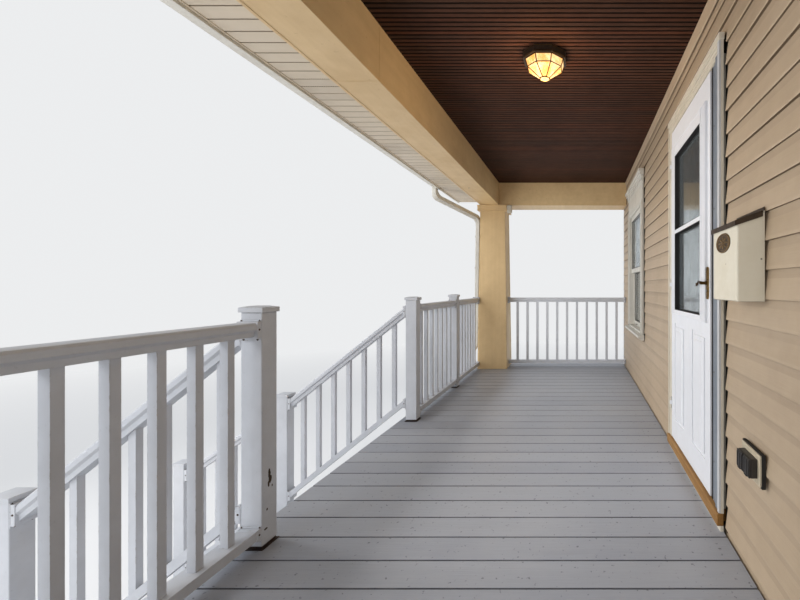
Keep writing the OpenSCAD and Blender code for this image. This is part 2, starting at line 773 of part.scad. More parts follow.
module window_casings() color(paint_white) both_sides() translate([window_x, 0, 0])
    window_casing();

function meeting_z() = deck_z + (window_bottom + window_top) / 2;

// The lower sash stands behind the upper one, and they meet at mid height
module window_sash_pair() {
    w = window_w - 2 * jamb_t;
    outwards(-sash_back - sash_t, -sash_back)
        ring(w, meeting_z() - sash_w / 2, deck_z + window_top - jamb_t, sash_w);
    outwards(-sash_back - 2 * sash_t, -sash_back - sash_t)
        ring(w, deck_z + window_bottom + jamb_t, meeting_z() + sash_w / 2, sash_w);
}

module window_sashes() color(paint_white) both_sides() translate([window_x, 0, 0])
    window_sash_pair();

module pane(out, x, z0, z1) block(-x, x, out - glass_t / 2, out + glass_t / 2, z0, z1);

module window_glass() color([0.6, 0.7, 0.75]) both_sides() translate([window_x, 0, 0]) {
    x = window_w / 2 - jamb_t - sash_w;
    pane(-sash_back - sash_t / 2, x, meeting_z() + sash_w / 2,
        deck_z + window_top - jamb_t - sash_w);
    pane(-sash_back - sash_t * 3 / 2, x, deck_z + window_bottom + jamb_t + sash_w,
        meeting_z() - sash_w / 2);
}

sill_top = door_bottom - door_gap + 1;
sill_foot = sill_top - door_sill_t;

module at_hinges() for (z = hinge_levels)
    translate([hinge_x, wall_y - hinge_out, z - knuckle_h / 2]) children();

// The two fixed knuckles of each hinge, with the pin between them
module hinge_frame_side() {
    at_hinges() for (k = [-1, 1]) translate([0, 0, k * knuckle_h]) {
        cylinder(r = knuckle_r, h = knuckle_h);
        translate([-hinge_bar_w, 0, 0])
            cube([hinge_bar_w, knuckle_r + 2, knuckle_h]);
    }
    at_hinges() translate([0, 0, -1]) cylinder(r = pin_r, h = knuckle_h + 2);
}

// The middle knuckle of each hinge, with the leaf that carries the door
module hinge_door_side() at_hinges() translate([0, 0, seat_gap]) difference() {
    h = knuckle_h - 2 * seat_gap;
    union() {
        cylinder(r = knuckle_r, h = h);
        translate([2, knuckle_r - 3, 0]) cube([18, hinge_out - door_proud - knuckle_r + 3, h]);
    }
    translate([0, 0, -1]) cylinder(r = pin_r + seat_gap, h = knuckle_h + 2);
}

// Jambs in the opening, casing, crown, hinge bar, latch strip and foot board
module door_casing() color(paint_white) {
    left = open_left - door_casing_w;
    right = open_right + door_casing_w;
    z0 = deck_z + sill_top;
    head = open_top + door_head_h;
    outwards(-wall_t, 0) difference() {
        translate([open_left - jamb_t, z0])
            square([open_right - open_left + 2 * jamb_t, open_top + jamb_t - z0]);
        translate([open_left, z0 - 1])
            square([open_right - open_left, open_top - z0 + 1]);
    }
    outwards(0, casing_t) difference() {
        translate([left, z0]) square([right - left, head - z0]);
        translate([open_left, z0 - 1])
            square([open_right - open_left, open_top - z0 + 1]);
    }
    block(left - crown_step, right + crown_step, 0, casing_t + crown_step,
        head - door_head_h / 3, head);
    block(open_left, hinge_x, -strip_depth, hinge_out - knuckle_r - 1, z0, open_top);
    hinge_frame_side();
    block(open_right - latch_strip_w, open_right, -strip_depth, latch_strip_out,
        z0, open_top);
    block(left, right, 0, casing_t, deck_z, deck_z + sill_foot);
}

module door_sill() color([0.55, 0.36, 0.16]) {
    block(open_left - door_casing_w, open_right + door_casing_w, 0, door_sill_out,
        deck_z + sill_foot, deck_z + sill_top);
    block(open_left - jamb_t, open_right + jamb_t, -wall_t, 0,
        deck_z + sill_foot, deck_z + sill_top);
}

module entry_door() color([0.28, 0.14, 0.07])
    block(open_left, open_right, -entry_back - entry_t, -entry_back,
        deck_z + sill_top, open_top);

insert_half = door_w / 2 - stile_w;
pane_half = insert_half - insert_frame_w;
pane_low = insert_bottom + insert_foot_h;
pane_high = insert_top - insert_head_h;
lever_x = door_w / 2 - lever_backset;

module storm_window_hole() for (z = [[pane_low, insert_bar_z - insert_bar_w / 2],
        [insert_bar_z + insert_bar_w / 2, pane_high]])
    translate([-pane_half, deck_z + z[0]]) square([2 * pane_half, z[1] - z[0]]);

module panel_groove() difference() {
    square([panel_w, panel_top - panel_bottom]);
    translate([panel_groove_w, panel_groove_w])
        square([panel_w - 2 * panel_groove_w, panel_top - panel_bottom - 2 * panel_groove_w]);
}

module storm_door() color(paint_white) {
    hinge_door_side();
    translate([door_x, 0, 0]) storm_door_slab();
}

module storm_door_slab() difference() {
    union() {
        block(-door_w / 2, door_w / 2, door_proud - door_t, door_proud,
            deck_z + door_bottom, deck_z + door_top);
        block(-insert_half, insert_half, door_proud, door_proud + insert_proud,
            deck_z + insert_bottom, deck_z + insert_top);
    }
    outwards(door_proud - door_t - 1, door_proud + insert_proud + 1) storm_window_hole();
    for (x = [-door_w / 2 + panel_margin, door_w / 2 - panel_margin - panel_w])
        outwards(door_proud - panel_groove_d, door_proud + 1)
            translate([x, deck_z + panel_bottom]) panel_groove();
    translate([lever_x, wall_y - door_proud + door_t + 1, deck_z + lever_z])
        rotate([90, 0, 0]) cylinder(r = spindle_r + spindle_gap, h = door_t + 2);
}

module storm_door_glass() color([0.6, 0.7, 0.75]) translate([door_x, 0, 0])
    outwards(door_proud - (door_t + glass_t) / 2, door_proud - (door_t - glass_t) / 2)
        storm_window_hole();

module lever_plate() color("darkgoldenrod") translate([door_x + lever_x, 0, 0])
    difference() {
        union() for (out = [[door_proud, door_proud + lever_plate_t],
                [door_proud - door_t - lever_plate_t, door_proud - door_t]])
            block(-lever_plate_w / 2, lever_plate_w / 2, out[0], out[1],
                deck_z + lever_z - lever_plate_h / 2, deck_z + lever_z + lever_plate_h / 2);
        translate([0, wall_y + door_t * 2, deck_z + lever_z]) rotate([90, 0, 0])
            cylinder(r = spindle_r + spindle_gap, h = door_t * 4);
    }

lever_stand = 34;
lever_bar = 12;
lever_knob_r = 11;

// One handle on the face of the door; way is 1 outside and -1 inside
module lever_half(face, way) translate([0, wall_y - face, deck_z + lever_z]) {
    rotate([way * 90, 0, 0]) translate([0, 0, seat_gap])
        cylinder(r = lever_knob_r, h = lever_stand);
    translate([lever_bar - lever_l, -way * (lever_stand - lever_bar / 2) - lever_bar / 2,
        -lever_bar / 2]) cube([lever_l - lever_bar, lever_bar, lever_bar]);
}

module door_lever() color("darkgoldenrod") translate([door_x + lever_x, 0, 0]) {
    lever_half(door_proud + lever_plate_t, 1);
    lever_half(door_proud - door_t - lever_plate_t, -1);
    translate([0, wall_y - door_proud + door_t + lever_plate_t + 1, deck_z + lever_z])
        rotate([90, 0, 0]) cylinder(r = spindle_r, h = door_t + 2 * lever_plate_t + 2);
}

lid_axis_out = 12;
lid_knuckle_r = 3.5;
lid_rest = lid_axis_out + 4;
back_rise = 14;
lid_fall = mailbox_fall / (mailbox_d - lid_axis_out);

// Height of the mailbox's sloping mouth above its floor at a distance out
function mouth(out) = mailbox_h - lid_t - (out - lid_axis_out) * lid_fall;

module mailbox_shell(t) {
    x = mailbox_w / 2 - t;
    along_x(-x, x) polygon([for (p = [[t, t], [mailbox_d - t, t],
        [mailbox_d - t, mouth(mailbox_d - t) + t], [lid_rest, mouth(lid_rest) + t],
        [t, mouth(lid_rest) + t]]) [-p[0], deck_z + mailbox_z + p[1]]]);
}

module mailbox_body() color([0.88, 0.85, 0.76]) translate([mailbox_x, 0, 0]) {
    difference() {
        mailbox_shell(0);
        mailbox_shell(mailbox_t);
    }
    block(-mailbox_w / 2, mailbox_w / 2, 0, mailbox_t,
        deck_z + mailbox_z + mouth(lid_rest), deck_z + mailbox_z + mailbox_h + back_rise);
}

module mailbox_lid() color([0.2, 0.17, 0.14]) translate([mailbox_x, 0, deck_z + mailbox_z]) {
    x = mailbox_w / 2 + lid_over;
    end = mailbox_d + lid_over;
    along_x(-x, x) polygon([for (p = [[lid_axis_out, seat_gap], [end, seat_gap],
        [end, seat_gap + lid_t], [lid_axis_out, seat_gap + lid_t]])
        [-p[0], mouth(p[0]) + p[1]]]);
    translate([-x, wall_y - lid_axis_out, mailbox_h - lid_t / 2 + seat_gap]) rotate([0, 90, 0])
        cylinder(r = lid_knuckle_r, h = 2 * x);
}

cover_out = outlet_block_t + outlet_cover_t;
flap_pin_z = outlet_cover_h / 2 - flap_t / 2 - 1;
socket_w = 36;
socket_h = 36;
socket_d = 14;

module outlet_block() color([0.8, 0.74, 0.64])
    block(outlet_x - outlet_block_w / 2, outlet_x + outlet_block_w / 2, 0, outlet_block_t,
        deck_z + outlet_z - outlet_block_h / 2, deck_z + outlet_z + outlet_block_h / 2);

module outlet_cover() color([0.08, 0.08, 0.08]) difference() {
    block(outlet_x - outlet_cover_w / 2, outlet_x + outlet_cover_w / 2,
        outlet_block_t, cover_out,
        deck_z + outlet_z - outlet_cover_h / 2, deck_z + outlet_z + outlet_cover_h / 2);
    for (side = [-1, 1]) translate([side * outlet_cover_w / 4, 0, 0])
        block(outlet_x - socket_w / 2, outlet_x + socket_w / 2, cover_out - socket_d,
            cover_out + 1, deck_z + outlet_z - socket_h / 2, deck_z + outlet_z + socket_h / 2);
}

// A flap that hangs in front of the cover from a knuckle at its top edge
module flap(side) translate([outlet_x, 0, deck_z + outlet_z]) {
    low = outlet_cover_w / 2 * side;
    high = flap_gap / 2 * side;
    x0 = min(low, high);
    x1 = max(low, high);
    block(x0, x1, cover_out + seat_gap, cover_out + seat_gap + flap_t,
        -outlet_cover_h / 2 + 1, flap_pin_z);
    translate([x0, wall_y - cover_out - seat_gap - flap_t / 2, flap_pin_z]) rotate([0, 90, 0])
        cylinder(r = flap_t / 2, h = x1 - x0);
}

module outlet_flap_left() color([0.1, 0.1, 0.1]) flap(-1);

module outlet_flap_right() color([0.1, 0.1, 0.1]) flap(1);

module at_lamp() translate([lamp_x, wall_y - lamp_out, deck_z + ceiling_z])
    rotate([0, 0, 22.5]) children();

module lamp_base() color([0.06, 0.06, 0.06]) at_lamp() {
    translate([0, 0, -lamp_base_h]) cylinder(r = lamp_r, h = lamp_base_h, $fn = 8);
    foot_z = -lamp_base_h - lamp_band_h - lamp_cone_h;
    translate([0, 0, foot_z - lamp_glass_t]) cylinder(r = lamp_foot_r, h = lamp_glass_t, $fn = 8);
}

module lamp_shape(inset) translate([0, 0, -lamp_base_h - lamp_band_h]) {
    cylinder(r1 = lamp_waist_r - inset, r2 = lamp_glass_r - inset, h = lamp_band_h, $fn = 8);
    translate([0, 0, -lamp_cone_h])
        cylinder(r1 = lamp_foot_r - inset, r2 = lamp_waist_r - inset, h = lamp_cone_h, $fn = 8);
}

module lamp_glass() color([0.9, 0.7, 0.35]) at_lamp() difference() {
    lamp_shape(0);
    lamp_shape(lamp_glass_t);
}

foundation_wall();
piers();
deck_frame();
deck_floor();
deck_fascia();
skirt_front();
skirt_ends();
stair_stringers();
stair_treads();
stair_risers();
deck_posts();
stair_posts();
rail_front_left();
rail_front_right();
rail_ends();
stair_rail_left();
stair_rail_right();
column_left();
column_right();
beam_front();
beam_ends();
ceiling_panel();
roof_slab();
roof_end_panels();
eave_soffit();
eave_fascia();
gutter();
downspouts();
wall_left();
wall_right();
wall_door_bay();
corner_boards();
window_casings();
window_sashes();
window_glass();
door_casing();
door_sill();
entry_door();
storm_door();
storm_door_glass();
lever_plate();
door_lever();
mailbox_body();
mailbox_lid();
outlet_block();
outlet_cover();
outlet_flap_left();
outlet_flap_right();
lamp_base();
lamp_glass();
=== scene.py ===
"""Looks of a front porch, laid out as an add-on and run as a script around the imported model."""

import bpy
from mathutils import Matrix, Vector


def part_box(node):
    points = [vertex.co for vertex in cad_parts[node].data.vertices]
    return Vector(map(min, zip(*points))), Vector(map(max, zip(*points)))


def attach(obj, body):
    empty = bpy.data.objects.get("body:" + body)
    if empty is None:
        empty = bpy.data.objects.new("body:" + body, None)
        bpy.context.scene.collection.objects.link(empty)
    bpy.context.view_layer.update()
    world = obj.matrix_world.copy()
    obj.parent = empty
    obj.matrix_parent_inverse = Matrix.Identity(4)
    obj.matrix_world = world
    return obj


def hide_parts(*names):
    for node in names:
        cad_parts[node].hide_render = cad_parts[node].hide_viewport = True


bl_info = {
    "name": "Front porch",
    "version": (1, 0, 0),
    "blender": (4, 5, 0),
    "location": "3D View > Sidebar > Porch",
    "description": "Dresses the packed front porch with its boards, siding, mouldings and finishes",
    "category": "Object",
}

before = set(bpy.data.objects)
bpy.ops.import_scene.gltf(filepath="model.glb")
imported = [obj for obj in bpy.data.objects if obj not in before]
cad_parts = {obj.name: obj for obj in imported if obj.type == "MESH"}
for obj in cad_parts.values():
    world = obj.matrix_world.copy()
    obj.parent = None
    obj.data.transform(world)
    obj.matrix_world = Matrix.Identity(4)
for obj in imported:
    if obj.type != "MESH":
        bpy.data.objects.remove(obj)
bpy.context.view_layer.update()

import math
import random

import bmesh
import bpy
from bpy.props import FloatProperty, FloatVectorProperty, PointerProperty
from mathutils import Matrix, Vector

WALL_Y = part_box("wall_left")[0].y    # face of the house wall
DECK_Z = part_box("deck_floor")[1].z   # walking surface of the deck
SIDES = (-1, 1)
CREASE = math.cos(math.radians(50))  # faces that turn by more than this meet in a hard edge
PALE = (0.84, 0.85, 0.86, 1.0)       # the background as the camera sees it

ACROSS_PORCH = (1.2, 24.0, 24.0)     # grain of boards that run along the porch
FROM_WALL = (24.0, 1.2, 24.0)        # grain of boards that run away from the wall
UPRIGHT = (24.0, 24.0, 1.2)          # grain of upright boards
EVEN = (9.0, 9.0, 9.0)               # no direction, on moulded and enamelled pieces
BRUSHED = (60.0, 60.0, 60.0)         # fine marks on metal
MATT = (0.8, 0.95)                   # roughness of surfaces that are never wiped

RAIL_OUT = 1.950                     # middle line of the front railing, out from the wall
COLUMN = (3.115, 1.745)              # middle of the right column: along the porch, out
BEAM_FOOT, CEILING = 2.1245, 2.418   # underside of the beams and of the ceiling above the deck
WINDOW = 2.060                       # middle of the right window along the porch
ROOF_SLOPE = 0.25


def srgb(red, green, blue):
    """A colour given as 0 to 255 values on screen, as the linear values that a shader takes."""
    parts = [c / 255 for c in (red, green, blue)]
    return tuple(c / 12.92 if c < 0.04045 else ((c + 0.055) / 1.055) ** 2.4 for c in parts)


def at(x, out, z):
    """The point x along the porch, out from the house wall and z above the deck."""
    return Vector((x, WALL_Y - out, DECK_Z + z))


def limits(node):
    """The box of a CAD node in the same measures, as (x0, x1, out0, out1, z0, z1)."""
    low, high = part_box(node)
    return low.x, high.x, WALL_Y - high.y, WALL_Y - low.y, low.z - DECK_Z, high.z - DECK_Z


def heights(face):
    """Heights of a face's corners above the deck."""
    return [v.co.z - DECK_Z for v in face.verts]


def of_kind(geometry, kind):
    """The vertices, edges or faces in what an operator returns."""
    return [g for g in geometry if isinstance(g, kind)]


def new_meshes(count):
    """Empty bmeshes for pieces that are built side by side."""
    return [bmesh.new() for _ in range(count)]


def toned_mesh():
    """An empty bmesh whose faces carry a tone."""
    bm = bmesh.new()
    bm.faces.layers.float.new("tone")
    return bm


def node_mesh(node):
    """A bmesh of a CAD node, with its corners merged and its flat faces whole."""
    bm = bmesh.new()
    bm.from_mesh(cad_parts[node].data)
    bmesh.ops.remove_doubles(bm, verts=bm.verts, dist=1e-5)
    bmesh.ops.dissolve_limit(bm, angle_limit=math.radians(1), verts=bm.verts, edges=bm.edges)
    return bm


def add_block(bm, x0, x1, out0, out1, z0, z1):
    """Adds a closed box between two planes in each direction, and returns its vertices."""
    verts = bmesh.ops.create_cube(bm, size=1.0)["verts"]
    bmesh.ops.scale(bm, vec=Vector((x1 - x0, out1 - out0, z1 - z0)), verts=verts)
    bmesh.ops.translate(bm, vec=at((x0 + x1) / 2, (out0 + out1) / 2, (z0 + z1) / 2), verts=verts)
    return verts


def add_slab(bm, x, half, out0, out1, z0, z1):
    """Adds a block that reaches half its width to each side of x."""
    return add_block(bm, x - half, x + half, out0, out1, z0, z1)


def add_square(bm, x, out, half, z0, z1):
    """Adds an upright block that is square from above."""
    return add_block(bm, x - half, x + half, out - half, out + half, z0, z1)


def add_pair(bm, middle, near, far, out0, out1, z0, z1):
    """Adds a block on each side of a middle line, between two distances from it."""
    for side in SIDES:
        add_block(bm, *sorted((middle + side * near, middle + side * far)), out0, out1, z0, z1)


def add_prism(bm, points, along):
    """Adds the closed prism between an outline of points and the same outline pushed along a vector."""
    face = bm.faces.new([bm.verts.new(p) for p in points])
    made = bmesh.ops.extrude_face_region(bm, geom=[face])["geom"]
    pushed = of_kind(made, bmesh.types.BMVert)
    bmesh.ops.translate(bm, vec=along, verts=pushed)
    return list(face.verts) + pushed if face.is_valid else pushed


def along_x(bm, section, x0, x1):
    """Adds a bar that runs along the porch; its section is a list of (out, z)."""
    return add_prism(bm, [at(x0, o, z) for o, z in section], Vector((x1 - x0, 0, 0)))


def along_out(bm, section, out0, out1):
    """Adds a bar that runs away from the wall; its section is a list of (x, z)."""
    return add_prism(bm, [at(x, out0, z) for x, z in section], Vector((0, out0 - out1, 0)))


def along_z(bm, section, z0, z1):
    """Adds an upright bar; its section is a list of (x, out)."""
    return add_prism(bm, [at(x, o, z0) for x, o in section], Vector((0, 0, z1 - z0)))


def add_disc(bm, centre, normal, radius, depth, sides=16, tip=None):
    """Adds a closed round plug that starts at centre and stands depth along normal."""
    turn = Vector((0, 0, 1)).rotation_difference(Vector(normal)).to_matrix().to_4x4()
    middle = Vector(centre) + Vector(normal).normalized() * depth / 2
    made = bmesh.ops.create_cone(bm, cap_ends=True, segments=sides, radius1=radius,
                                 radius2=radius if tip is None else tip, depth=depth,
                                 matrix=Matrix.Translation(middle) @ turn)
    return made["verts"]


def add_screw(bm, centre, normal, radius=0.004):
    """Adds a low round screw head that sits on a surface."""
    return add_disc(bm, centre, normal, radius, radius * 0.4, 10, radius * 0.7)


def add_ring(bm, x0, x1, z0, z1, edge, out0, out1):
    """Adds four boards round an upright opening; edge is their width, inwards from the limits."""
    add_block(bm, x0, x1, out0, out1, z0, z0 + edge)
    add_block(bm, x0, x1, out0, out1, z1 - edge, z1)
    add_block(bm, x0, x0 + edge, out0, out1, z0 + edge, z1 - edge)
    add_block(bm, x1 - edge, x1, out0, out1, z0 + edge, z1 - edge)


def add_ring_around(bm, middle, half, proud, z0, z1):
    """Adds a square band round an upright post."""
    x, out = middle
    wide = half + proud
    for side in SIDES:
        xs = sorted((x + side * half, x + side * wide))
        outs = sorted((out + side * half, out + side * wide))
        add_block(bm, *xs, out - wide, out + wide, z0, z1)
        add_slab(bm, x, half, *outs, z0, z1)


def sweep(bm, path, radii, sides=8):
    """Carries a round section along a path; its radius may differ from point to point."""
    ways = [(b - a).normalized() for a, b in zip(path, path[1:])]
    ways = [ways[0]] + [(a + b).normalized() for a, b in zip(ways, ways[1:])] + [ways[-1]]
    turn = Vector((0, 0, 1)).rotation_difference(ways[0]).to_matrix().to_4x4()
    start = bmesh.ops.create_circle(bm, cap_ends=True, segments=sides, radius=radii[0],
                                    matrix=Matrix.Translation(path[0]) @ turn)["verts"]
    face = start[0].link_faces[0]
    for i in range(1, len(path)):
        made = bmesh.ops.extrude_face_region(bm, geom=[face])["geom"]
        ring, face = of_kind(made, bmesh.types.BMVert), of_kind(made, bmesh.types.BMFace)[0]
        turn = ways[i - 1].rotation_difference(ways[i]).to_matrix()
        bmesh.ops.rotate(bm, verts=ring, cent=path[i - 1], matrix=turn)
        bmesh.ops.translate(bm, verts=ring, vec=path[i] - path[i - 1])
        bmesh.ops.scale(bm, verts=ring, vec=[radii[i] / radii[i - 1]] * 3,
                        space=Matrix.Translation(-path[i]))


def bevel(bm, edges, width, segments=1, clamp=False):
    """Cuts or rounds these edges."""
    bmesh.ops.bevel(bm, geom=list(edges), offset=width, offset_type='OFFSET', segments=segments,
                    profile=0.5, affect='EDGES', material=-1, clamp_overlap=clamp)


def ease(bm, width, segments=2, edges=None, angle=30):
    """Rounds the edges that turn by more than angle."""
    bevel(bm, [e for e in (bm.edges if edges is None else edges)
               if len(e.link_faces) == 2 and e.calc_face_angle(0) > math.radians(angle)],
          width, segments, True)


def bevel_front(bm, verts, out, width, segments=1):
    """Bevels the rim of a block's face that lies this far out from the wall."""
    bevel(bm, {e for v in verts for e in v.link_edges
               if all(abs(w.co.y - WALL_Y + out) < 1e-5 for w in e.verts)}, width, segments)


def move_into(bm, part):
    """Adds everything of a second bmesh, and frees it."""
    mesh = bpy.data.meshes.new("part")
    part.to_mesh(mesh)
    part.free()
    bm.from_mesh(mesh)
    bpy.data.meshes.remove(mesh)


def mirrored(*meshes):
    """Adds the mirror image of everything across the middle of the porch."""
    for bm in meshes:
        copy = bmesh.ops.duplicate(bm, geom=bm.verts[:] + bm.edges[:] + bm.faces[:])["geom"]
        bmesh.ops.scale(bm, vec=Vector((-1, 1, 1)), verts=of_kind(copy, bmesh.types.BMVert))
        bmesh.ops.reverse_faces(bm, faces=of_kind(copy, bmesh.types.BMFace))


def keep_faces_flat(mesh):
    """Lets wide faces keep their own direction, so that only the eased strips between them turn."""
    near = [[] for _ in mesh.vertices]
    for face in mesh.polygons:
        for v in face.vertices:
            near[v].append((face.normal.copy(), face.area))
    ways = []
    for face in mesh.polygons:
        for v in face.vertices:
            way = sum((n * area for n, area in near[v] if n.dot(face.normal) > CREASE), Vector())
            ways.append(way.normalized())
    mesh.normals_split_custom_set(ways)


def piece(name, bm, material, body="porch", replaces=(), outwards=True):
    """Turns a bmesh into a piece that rides on a body and may stand for CAD nodes."""
    if outwards:
        bmesh.ops.recalc_face_normals(bm, faces=bm.faces)
    mesh = bpy.data.meshes.new(name)
    bm.to_mesh(mesh)
    bm.free()
    mesh.shade_smooth()
    keep_faces_flat(mesh)
    made = bpy.data.objects.new(name, mesh)
    bpy.context.scene.collection.objects.link(made)
    mesh.materials.append(finish(material))
    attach(made, body)
    if replaces:
        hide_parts(*replaces)


def eased_node(node, material, width, segments=2, body="porch"):
    """Replaces a CAD node with a copy of it whose edges are rounded."""
    bm = node_mesh(node)
    ease(bm, width, segments)
    piece(node + "_eased", bm, material, body, [node], outwards=False)


def paint_node(node, material):
    """Gives a CAD node that keeps its shape a finish."""
    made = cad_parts[node]
    made.data.materials.clear()
    made.data.materials.append(finish(material))


def tone_faces(bm, verts, value, chosen=lambda face: True):
    """Writes one tone on the chosen faces of these vertices; finishes read one below 0 as painted shade."""
    layer = bm.faces.layers.float["tone"]
    for face in {f for v in verts if v.is_valid for f in v.link_faces}:
        if chosen(face):
            face[layer] = value


def add_node(tree, kind, inputs=(), **settings):
    """Adds a shader node, with its settings and, for each input, a value or the socket that feeds it."""
    node = tree.nodes.new("ShaderNode" + kind)
    for name, value in settings.items():
        setattr(node, name, value)
    for name, value in dict(inputs).items():
        if isinstance(value, bpy.types.NodeSocket):
            tree.links.new(value, node.inputs[name])
        else:
            node.inputs[name].default_value = value
    return node


def maths(tree, operation, a, b, clamp=False):
    """Adds a Math node; each operand is a socket or a number."""
    return add_node(tree, "Math", {0: a, 1: b}, operation=operation, use_clamp=clamp).outputs[0]


def noise(tree, vector, scale, detail=4.0, roughness=0.55):
    """Adds a noise texture and returns its value."""
    return add_node(tree, "TexNoise", {"Vector": vector, "Scale": scale, "Detail": detail,
                                       "Roughness": roughness}).outputs[0]


def spread_out(tree, value, low, high):
    """Stretches the part of a value between low and high to 0 to 1, clamped."""
    return add_node(tree, "MapRange", {"Value": value, "From Min": low, "From Max": high}).outputs[0]


def mix_colours(tree, mask, below, above):
    """Mixes two colours by a mask; each is a socket or the values of a colour."""
    return add_node(tree, "Mix", {0: mask, 6: below, 7: above}, data_type='RGBA').outputs[2]


def grain(tree, given):
    """Streaks that run along the axis with the smallest stretch, as in sawn or brushed surfaces."""
    scaled = add_node(tree, "VectorMath", {0: given["Vector"], 1: given["Stretch"]}, operation='MULTIPLY')
    fine = noise(tree, scaled.outputs[0], 6.0, 5.0, 0.6)
    broad = noise(tree, scaled.outputs[0], 1.1, 3.0, 0.5)
    return fine, spread_out(tree, broad, 0.3, 0.7)


def grime(tree, given):
    """Soft patches of dirt in two sizes, with small specks between them."""
    place, size = given["Vector"], given["Size"]
    large = noise(tree, place, size, 5.0, 0.62)
    small = noise(tree, place, maths(tree, 'MULTIPLY', size, 9.0))
    both = maths(tree, 'ADD', maths(tree, 'MULTIPLY', large, 0.7), maths(tree, 'MULTIPLY', small, 0.3))
    dots = noise(tree, place, maths(tree, 'MULTIPLY', size, 40.0), 2.0)
    return spread_out(tree, both, 0.42, 0.66), spread_out(tree, dots, 0.66, 0.74)


def edges(tree, given):
    """Marks the outer edges of a shape, broken up by noise, where paint wears first."""
    rounded = add_node(tree, "Bevel", {"Radius": 0.004}, samples=4)
    facing = add_node(tree, "NewGeometry").outputs["Normal"]
    turn = add_node(tree, "VectorMath", {0: rounded.outputs[0], 1: facing}, operation='DOT_PRODUCT')
    mask = spread_out(tree, turn.outputs["Value"], 0.99, 0.86)
    broken = spread_out(tree, noise(tree, given["Vector"], 23.0, 5.0, 0.7), 0.5, 0.62)
    return (maths(tree, 'MULTIPLY', mask, broken),)


# For each shared group: its inputs with their defaults, and its outputs
GROUPS = {grain: ({"Vector": None, "Stretch": (20.0, 1.0, 20.0)}, ("Grain", "Streaks")),
          grime: ({"Vector": None, "Size": 2.0}, ("Patches", "Specks")),
          edges: ({"Vector": None}, ("Worn",))}


def shared_group(fill):
    """The shader node group that a function fills, made on its first use."""
    name = "Porch " + fill.__name__
    tree = bpy.data.node_groups.get(name)
    if tree:
        return tree
    tree = bpy.data.node_groups.new(name, "ShaderNodeTree")
    inputs, outputs = GROUPS[fill]
    for label, default in inputs.items():
        kind = "NodeSocketFloat" if isinstance(default, float) else "NodeSocketVector"
        socket = tree.interface.new_socket(label, in_out='INPUT', socket_type=kind)
        if default is not None:
            socket.default_value = default
    for label in outputs:
        tree.interface.new_socket(label, in_out='OUTPUT', socket_type="NodeSocketFloat")
    start, end = tree.nodes.new("NodeGroupInput"), tree.nodes.new("NodeGroupOutput")
    for value, socket in zip(fill(tree, start.outputs), end.inputs):
        tree.links.new(value, socket)
    return tree


class Surface:
    """One material, and short calls that fill its node tree from the base colour upwards."""

    def __init__(self, name, colour, roughness=0.4, **fixed):
        self.material = bpy.data.materials.new(name)
        self.material.use_nodes = True
        self.tree = self.material.node_tree
        self.tree.nodes.clear()
        self.bsdf = add_node(self.tree, "BsdfPrincipled",
                             {label.replace("_", " "): value for label, value in fixed.items()})
        add_node(self.tree, "OutputMaterial", {"Surface": self.bsdf.outputs[0]})
        self.place = add_node(self.tree, "TexCoord").outputs["Object"]
        self.colour = (*colour, 1.0)
        self.roughness = roughness
        self.height = None
        self.masks = {}
        self.material.diffuse_color = self.colour

    def effect(self, fill, **values):
        """Places a shared group, fed with the object's own coordinates, and keeps its masks."""
        node = add_node(self.tree, "Group", {"Vector": self.place, **values}, node_tree=shared_group(fill))
        self.masks.update(node.outputs.items())

    def spread(self, value, low, high):
        """Stretches a part of a value to a mask from 0 to 1."""
        return spread_out(self.tree, value, low, high)

    def mask(self, name):
        """A mask by its name: tone is each board's own; any other name gives where the tone is below 0, the
        painted shade in grooves, between boards and under laps.
        """
        if name in self.masks:
            return self.masks[name]
        tone = add_node(self.tree, "Attribute", attribute_name="tone").outputs["Fac"]
        return tone if name == "tone" else self.spread(tone, 0.0, -1.0)

    def coat(self, mask, colour, amount):
        """Mixes a colour, as on screen, over what the surface has so far, where the mask says."""
        if isinstance(mask, str):
            mask = self.mask(mask)
        mask = maths(self.tree, 'MULTIPLY', mask, amount, True)
        self.colour = mix_colours(self.tree, mask, self.colour, (*srgb(*colour), 1.0))

    def rough(self, mask, low, high):
        """Lets the roughness follow a mask."""
        span = maths(self.tree, 'MULTIPLY', self.mask(mask), high - low)
        self.roughness = maths(self.tree, 'ADD', span, low, True)

    def done(self, mask=None, relief=0.0):
        """Joins the colour, roughness and a mask's relief in metres, and returns the material."""
        links = {"Base Color": self.colour, "Roughness": self.roughness}
        if mask is not None:
            height = maths(self.tree, 'MULTIPLY', mask, relief)
            links["Normal"] = add_node(self.tree, "Bump", {"Strength": 1.0, "Distance": 1.0,
                                                           "Height": height}).outputs[0]
        for label, value in links.items():
            if isinstance(value, bpy.types.NodeSocket):
                self.tree.links.new(value, self.bsdf.inputs[label])
            else:
                self.bsdf.inputs[label].default_value = value
        return self.material


def coated(name, colour, coats, stretch, size, rough, sheen, relief, **fixed):
    """A grained and soiled material; each coat is a mask, a colour and how much of it shows."""
    made = Surface(name, colour, **fixed)
    made.effect(grain, Stretch=stretch)
    made.effect(grime, Size=size)
    if any("Worn" in coat for coat in coats):
        made.effect(edges)
    for coat in coats:
        made.coat(*coat)
    made.rough(rough, *sheen)
    return made.done(made.masks["Grain"], relief)


def painted(name, colour, shade, stretch=EVEN, dirt=0.35, size=2.0, sheen=(0.32, 0.5), worn=None,
            tone=0.0, relief=0.0003):
    """Paint over wood or metal: faint grain, dirt in patches, bare spots on the edges, and with a tone,
    painted shade in the grooves.
    """
    # With a tone, boards darken at random by it, and a brown coat is painted shade in the grooves, where
    # the tone is below 0
    coats = [("tone", shade, tone), ("gaps", (104, 92, 76), 0.6)] if tone else []
    coats += [("Streaks", shade, dirt * 0.45), ("Patches", shade, dirt), ("Specks", shade, dirt * 0.8)]
    coats += [("Worn", worn, 0.8)] if worn else []
    return coated(name, colour, coats, stretch, size, "Patches", sheen, relief)


